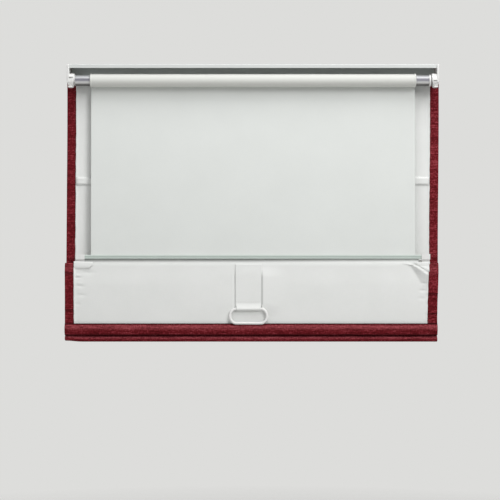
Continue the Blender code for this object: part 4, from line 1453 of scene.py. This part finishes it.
def bracket_boss(inner, outer):
    """The round boss, narrowed along X in its lower half."""
    boss = solid_rod(inner, outer, AXIS_Y, AXIS_Z, BOSS_RADIUS, 1.6 * MM)
    middle_x = (inner + outer) / 2
    for vert in boss.data.vertices:
        down = smooth(AXIS_Z + 2 * MM - vert.co.z, 0.0, BOSS_RADIUS)
        vert.co.x = middle_x + (vert.co.x - middle_x) * (1 - BOSS_NARROWED * down)
    return boss


def thumb_nub(x, y):
    clear_selection()
    bpy.ops.mesh.primitive_uv_sphere_add(
        segments=24, ring_count=16, radius=NUB_RADIUS, location=(x, y, NUB_Z)
    )
    nub = bpy.context.object
    nub.scale = (1.0, 1.1, 1.7)
    bpy.ops.object.transform_apply(location=True, rotation=True, scale=True)
    return nub


def screw_hole(x):
    clear_selection()
    bpy.ops.mesh.primitive_cylinder_add(vertices=32, radius=1.8 * MM, depth=12 * MM, location=(x, 0, TAB_TOP))
    return bpy.context.object


def shaft_bore(side, inner):
    """Room for the idler pin's round end on the left, or for the spring shaft's flat one on the right."""
    low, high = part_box("idler_pin" if side < 0 else "spring_shaft")
    room = 0.3 * MM
    if side < 0:
        return solid_rod(low.x - room, inner + 5 * MM, AXIS_Y, AXIS_Z, (high.z - low.z) / 2 + room, 0)
    corner = (inner - 5 * MM, low.y - room, low.z - room)
    return solid_box(corner, (high.x + room, high.y + room, high.z + room), 0)


print("the bosses' faces are", round(2 * BOSS_FACE / MM, 1), "mm apart")


# %% End brackets
def end_bracket(label, side, slot_z):
    low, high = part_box("end_bracket_" + label)
    outer = side * max(abs(low.x), abs(high.x))
    inner = side * BOSS_FACE
    plate_in = side * (RAIL_HALF + 0.3 * MM)    # clear of the headrail's end
    back = low.y
    foot_z = AXIS_Z - BOSS_RADIUS

    def inward(distance):
        """X at this many millimetres in from the plate's outer face."""
        return outer - side * distance * MM

    plate_low = (outer - side * 0.8 * MM, back, AXIS_Z - 6 * MM)
    body = solid_box(plate_low, (plate_in, high.y - 1 * MM, -0.3 * MM), 1.4 * MM)
    join_or_cut(body, bracket_boss(inner, outer), "UNION")
    join_or_cut(body, thumb_nub(inward(3.0), back + 2.4 * MM), "UNION")
    foot_low = (inward(3.4), back + 1.5 * MM, foot_z - 0.6 * MM)
    join_or_cut(body, solid_box(foot_low, (inward(13.6), AXIS_Y, foot_z + 2.6 * MM), 0.9 * MM), "UNION")
    brow_low = (inward(5.6), back - 0.6 * MM, slot_z + 1.1 * MM)
    join_or_cut(body, solid_box(brow_low, (inward(16.2), AXIS_Y, slot_z + 2.9 * MM), 0.8 * MM), "UNION")
    slot_low = (inward(6.6), back - 5 * MM, slot_z - 1.3 * MM)
    slot_high = (inward(13.2), back + 5.5 * MM, slot_z + 0.7 * MM)
    join_or_cut(body, solid_box(slot_low, slot_high, 0.3 * MM), "DIFFERENCE")
    tab_low = (side * (RAIL_HALF - 18 * MM), -9 * MM, TAB_TOP - 3 * MM)
    join_or_cut(body, solid_box(tab_low, (plate_in + side * MM, 9 * MM, TAB_TOP), 0.6 * MM), "UNION")
    join_or_cut(body, screw_hole(side * (RAIL_HALF - 9 * MM)), "DIFFERENCE")
    join_or_cut(body, shaft_bore(side, inner), "DIFFERENCE")
    body.name = body.data.name = "moulded_bracket_" + label
    activate(body)
    bpy.ops.object.shade_smooth_by_angle(angle=math.radians(35))
    body.data.materials.clear()
    body.data.materials.append(WHITE_MOULDING)
    clear_selection()
    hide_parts("end_bracket_" + label)
    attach(body, "head")
    print(body.name, "has", len(body.data.polygons), "faces")


end_bracket("left", -1, -32.4 * MM)
end_bracket("right", 1, -40.2 * MM)

# %% [markdown]
# Stitches are what tells sewn cloth from folded card. One stitch is a small ball, drawn out along the
# seam and flattened, and every seam is a line of copies of it with their own mesh. Each seam is given as
# places with the way along the seam and the way out of the cloth.

# %% One stitch
STITCH_LENGTH = 2.8 * MM
STITCH_GAP = 1.7 * MM
THREAD_WIDTH = 0.55 * MM


def one_stitch():
    clear_selection()
    bpy.ops.mesh.primitive_uv_sphere_add(segments=6, ring_count=4, radius=0.5)
    stitch = bpy.context.object
    bpy.ops.object.mode_set(mode="EDIT")
    bpy.ops.mesh.select_all(action="SELECT")
    bpy.ops.transform.rotate(value=math.pi / 2, orient_axis="Y", center_override=(0, 0, 0))
    bpy.ops.transform.resize(value=(STITCH_LENGTH, THREAD_WIDTH, THREAD_WIDTH), center_override=(0, 0, 0))
    bpy.ops.object.mode_set(mode="OBJECT")
    shape = stitch.data.copy()
    bpy.data.objects.remove(stitch)
    return shape


STITCH = one_stitch()
print("one stitch has", len(STITCH.polygons), "faces")


# %% Seams from copies of the stitch
def seam(name, places, material):
    """Copies the stitch to each (point, along, out) and joins the copies in one piece."""
    bm = bmesh.new()
    for point, along, out in places:
        side = out.cross(along).normalized()
        turn = Matrix((along.normalized(), side, out.normalized())).transposed().to_4x4()
        before = len(bm.verts)
        bm.from_mesh(STITCH)
        bm.verts.ensure_lookup_table()
        bmesh.ops.transform(bm, matrix=Matrix.Translation(point) @ turn, verts=bm.verts[before:])
    for face in bm.faces:
        face.smooth = True
    mesh = bpy.data.meshes.new(name)
    bm.to_mesh(mesh)
    bm.free()
    made = bpy.data.objects.new(name, mesh)
    scene.collection.objects.link(made)
    mesh.materials.append(material)
    print(name, "has", len(places), "stitches")
    return made


def along_path(points, out):
    """Stitch places every stitch and gap along a line of points."""
    places, left = [], 0.0
    for first, second in zip(points, points[1:]):
        step = second - first
        length = step.length
        while left < length:
            places.append((first + step * (left / length), step, out))
            left += STITCH_LENGTH + STITCH_GAP
        left -= length
    return places


one_metre = [Vector((0, 0, 0)), Vector((1, 0, 0))]
print("a metre of seam takes", len(along_path(one_metre, Vector((0, 0, 1)))), "stitches")

# %% [markdown]
# The side hems are sewn down close to their inner edge, the bottom hem along its top, each rib pocket along
# both edges, and the strap across its sewn tail.

# %% Hem seams
BACKWARDS = Vector((0, -1, 0))
SEAM_INSET = 3.2 * MM
THREAD_LIFT = 0.05 * MM         # the thread's middle lies this far out of the cloth


def side_hem_points(x, part):
    points = []
    for station in cloth_route:
        if station.part == part:
            deep = HEM_LAYER + CLOTH_THICKNESS / 2 + THREAD_LIFT
            y = station.y + deep * station.side_y
            z = station.z + deep * station.side_z
            points.append(Vector(settle(x, station, y, z, under=True)))
    return points


for side, label in ((-1, "left"), (1, "right")):
    x = side * (HEM_INNER + SEAM_INSET + 1.5 * MM)
    places = along_path(side_hem_points(x, "front")[5:], BACKWARDS)
    places += along_path(side_hem_points(x, "skirt")[1:-5], BACKWARDS)
    hang(seam("hem_stitches_" + label, places, RED_THREAD))

hem_back = SKIRT_Y - 2 * HEM_RADIUS - CLOTH_THICKNESS / 2 - THREAD_LIFT
hem_line = [
    Vector(settle(x, cloth_route[-1], hem_back, HEM_TOP - SEAM_INSET))
    for x in spread(-HEM_INNER + 2 * MM, HEM_INNER - 2 * MM, 12 * MM)
]
bottom_stitches = seam("bottom_hem_stitches", along_path(hem_line, BACKWARDS), RED_THREAD)
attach(bottom_stitches, "lift_stack")

# %% Pocket and strap seams
POCKET_SEAM_INSET = 1.4 * MM
POCKET_SEAM_HALF = LINING_HALF - 12 * MM
pocket_back = LINING_BACK_Y - POCKET_THICKNESS - 0.25 * MM
for (rib, body), middle in zip(RIB_BODIES.items(), RIB_HEIGHTS):
    places = []
    for edge in (-1, 1):
        z = middle + edge * (POCKET_HALF_HEIGHT - POCKET_SEAM_INSET)
        ends = [Vector((sign * POCKET_SEAM_HALF, pocket_back, z)) for sign in (-1, 1)]
        places += along_path(ends, BACKWARDS)
    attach(seam(rib + "_stitches", places, WHITE_THREAD), body)

strap_back = STRAP_Y - STRAP_PLY - STRAP_THICKNESS / 2 - THREAD_LIFT
inner_x = STRAP_HALF - SEAM_INSET
tail_top = RING_AXIS_Z + STRAP_TAIL - 3 * MM
tail_ends = [Vector((STRAP_X + sign * inner_x, strap_back, tail_top)) for sign in (-1, 1)]
places = along_path(tail_ends, BACKWARDS)
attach(seam("strap_stitches", places, WHITE_THREAD), "lift_stack")

# %% [markdown]
# The floor and the background are one pale tone, so that nothing competes with the shade. The world gives
# that tone to the camera and an even light to everything else. The floor lies far below the hanging shade
# and fades out into the same tone, so there is no horizon behind it.

# %% World
BACKDROP = srgb(221, 221, 219)
AMBIENT = 0.24


def backdrop_rays(start):
    """1 for rays that should see the plain backdrop, 0 for the light that falls on the shade."""
    seen = start.node("LightPath", output="Is Camera Ray")
    seen = seen.maths("MAXIMUM", seen, start.node("LightPath", output="Is Glossy Ray"))
    return seen.maths("MAXIMUM", seen, start.node("LightPath", output="Is Transmission Ray"))


def make_world():
    world = bpy.data.worlds.new("studio")
    scene.world = world
    world.use_nodes = True
    tree = world.node_tree
    tree.nodes.clear()
    start = Socket(tree)
    shown = start.node("Background", {"Color": BACKDROP, "Strength": 1.0})
    light = start.node("Background", {"Color": (1.0, 1.0, 1.0, 1.0), "Strength": AMBIENT})
    mixed = start.node("MixShader", {0: backdrop_rays(start), 1: light, 2: shown})
    end = tree.nodes.new("ShaderNodeOutputWorld")
    tree.links.new(mixed.output, end.inputs["Surface"])


make_world()
print("world:", scene.world.name)

# %% Floor
FLOOR_Z = -1.6
FLOOR_RADIUS = 6.0
FADE_FROM = 1.2                 # metres from the middle
FADE_RATE = 0.45                # share of the floor that goes in each metre from there


def make_floor():
    clear_selection()
    bpy.ops.mesh.primitive_circle_add(
        vertices=96, radius=FLOOR_RADIUS, fill_type="NGON", location=(0, 0, FLOOR_Z)
    )
    floor = bpy.context.object
    floor.name = "floor"
    material, place = start_material("floor")
    far = (place.axis(0) ** 2 + place.axis(1) ** 2) ** 0.5
    grain = place.stretch(3, 3, 3).noise(4.0)
    tree = material.node_tree
    surface = Socket(tree, tree.nodes["Principled BSDF"].outputs[0])
    finish_material(
        material,
        Base_Color=(grain * 0.4).clamp().blend(srgb(226, 226, 224), srgb(216, 216, 214)),
        Roughness=0.9,
    )
    fade = ((far - FADE_FROM) * FADE_RATE).clamp()
    air = surface.node("BsdfTransparent")
    mixed = surface.node("MixShader", {0: fade, 1: surface, 2: air})
    tree.links.new(mixed.output, tree.nodes["Material Output"].inputs["Surface"])
    floor.data.materials.append(material)


make_floor()
print("floor at", FLOOR_Z)

# %% [markdown]
# Light comes from large soft lamps: the main one high on the right of the camera, which leaves the
# shade's left recess in shadow, a weak one on the left, one overhead, and one for the room side, so that
# the face cloth is lit when the shade is looked at from there.

# %% Lamps
AIM = Vector((0, 0, -0.33))
LAMPS = [
    ("main", (1.9, -2.6, 1.5), 1.5, 59.0),
    ("fill", (-2.4, -2.3, -0.1), 1.6, 12.0),
    ("overhead", (0.2, -1.0, 1.9), 1.2, 34.0),
    ("room", (-1.6, 2.8, 0.9), 1.8, 34.0),
]
for name, place, size, power in LAMPS:
    clear_selection()
    bpy.ops.object.light_add(type="AREA", location=place)
    lamp = bpy.context.object
    lamp.name = name + "_lamp"
    lamp.rotation_euler = (AIM - Vector(place)).to_track_quat("-Z", "Y").to_euler()
    lamp.data.size = size
    lamp.data.energy = power
print("lamps:", [lamp[0] for lamp in LAMPS])

# %% [markdown]
# The camera stands square to the shade, level with the middle of the picture and a little left of the
# shade's own middle. A long lens keeps the sides straight. The picture is square.

# %% Camera
CAMERA_PLACE = (-0.0075, -3.4, -0.450)
LENS = 100.5
SENSOR = 36.0

clear_selection()
bpy.ops.object.camera_add(location=CAMERA_PLACE, rotation=(math.pi / 2, 0, 0))
camera = bpy.context.object
camera.data.lens = LENS
camera.data.sensor_width = SENSOR
scene.camera = camera
clear_selection()
scene.view_settings.view_transform = "Standard"
print("camera at", CAMERA_PLACE, "with a", LENS, "mm lens")
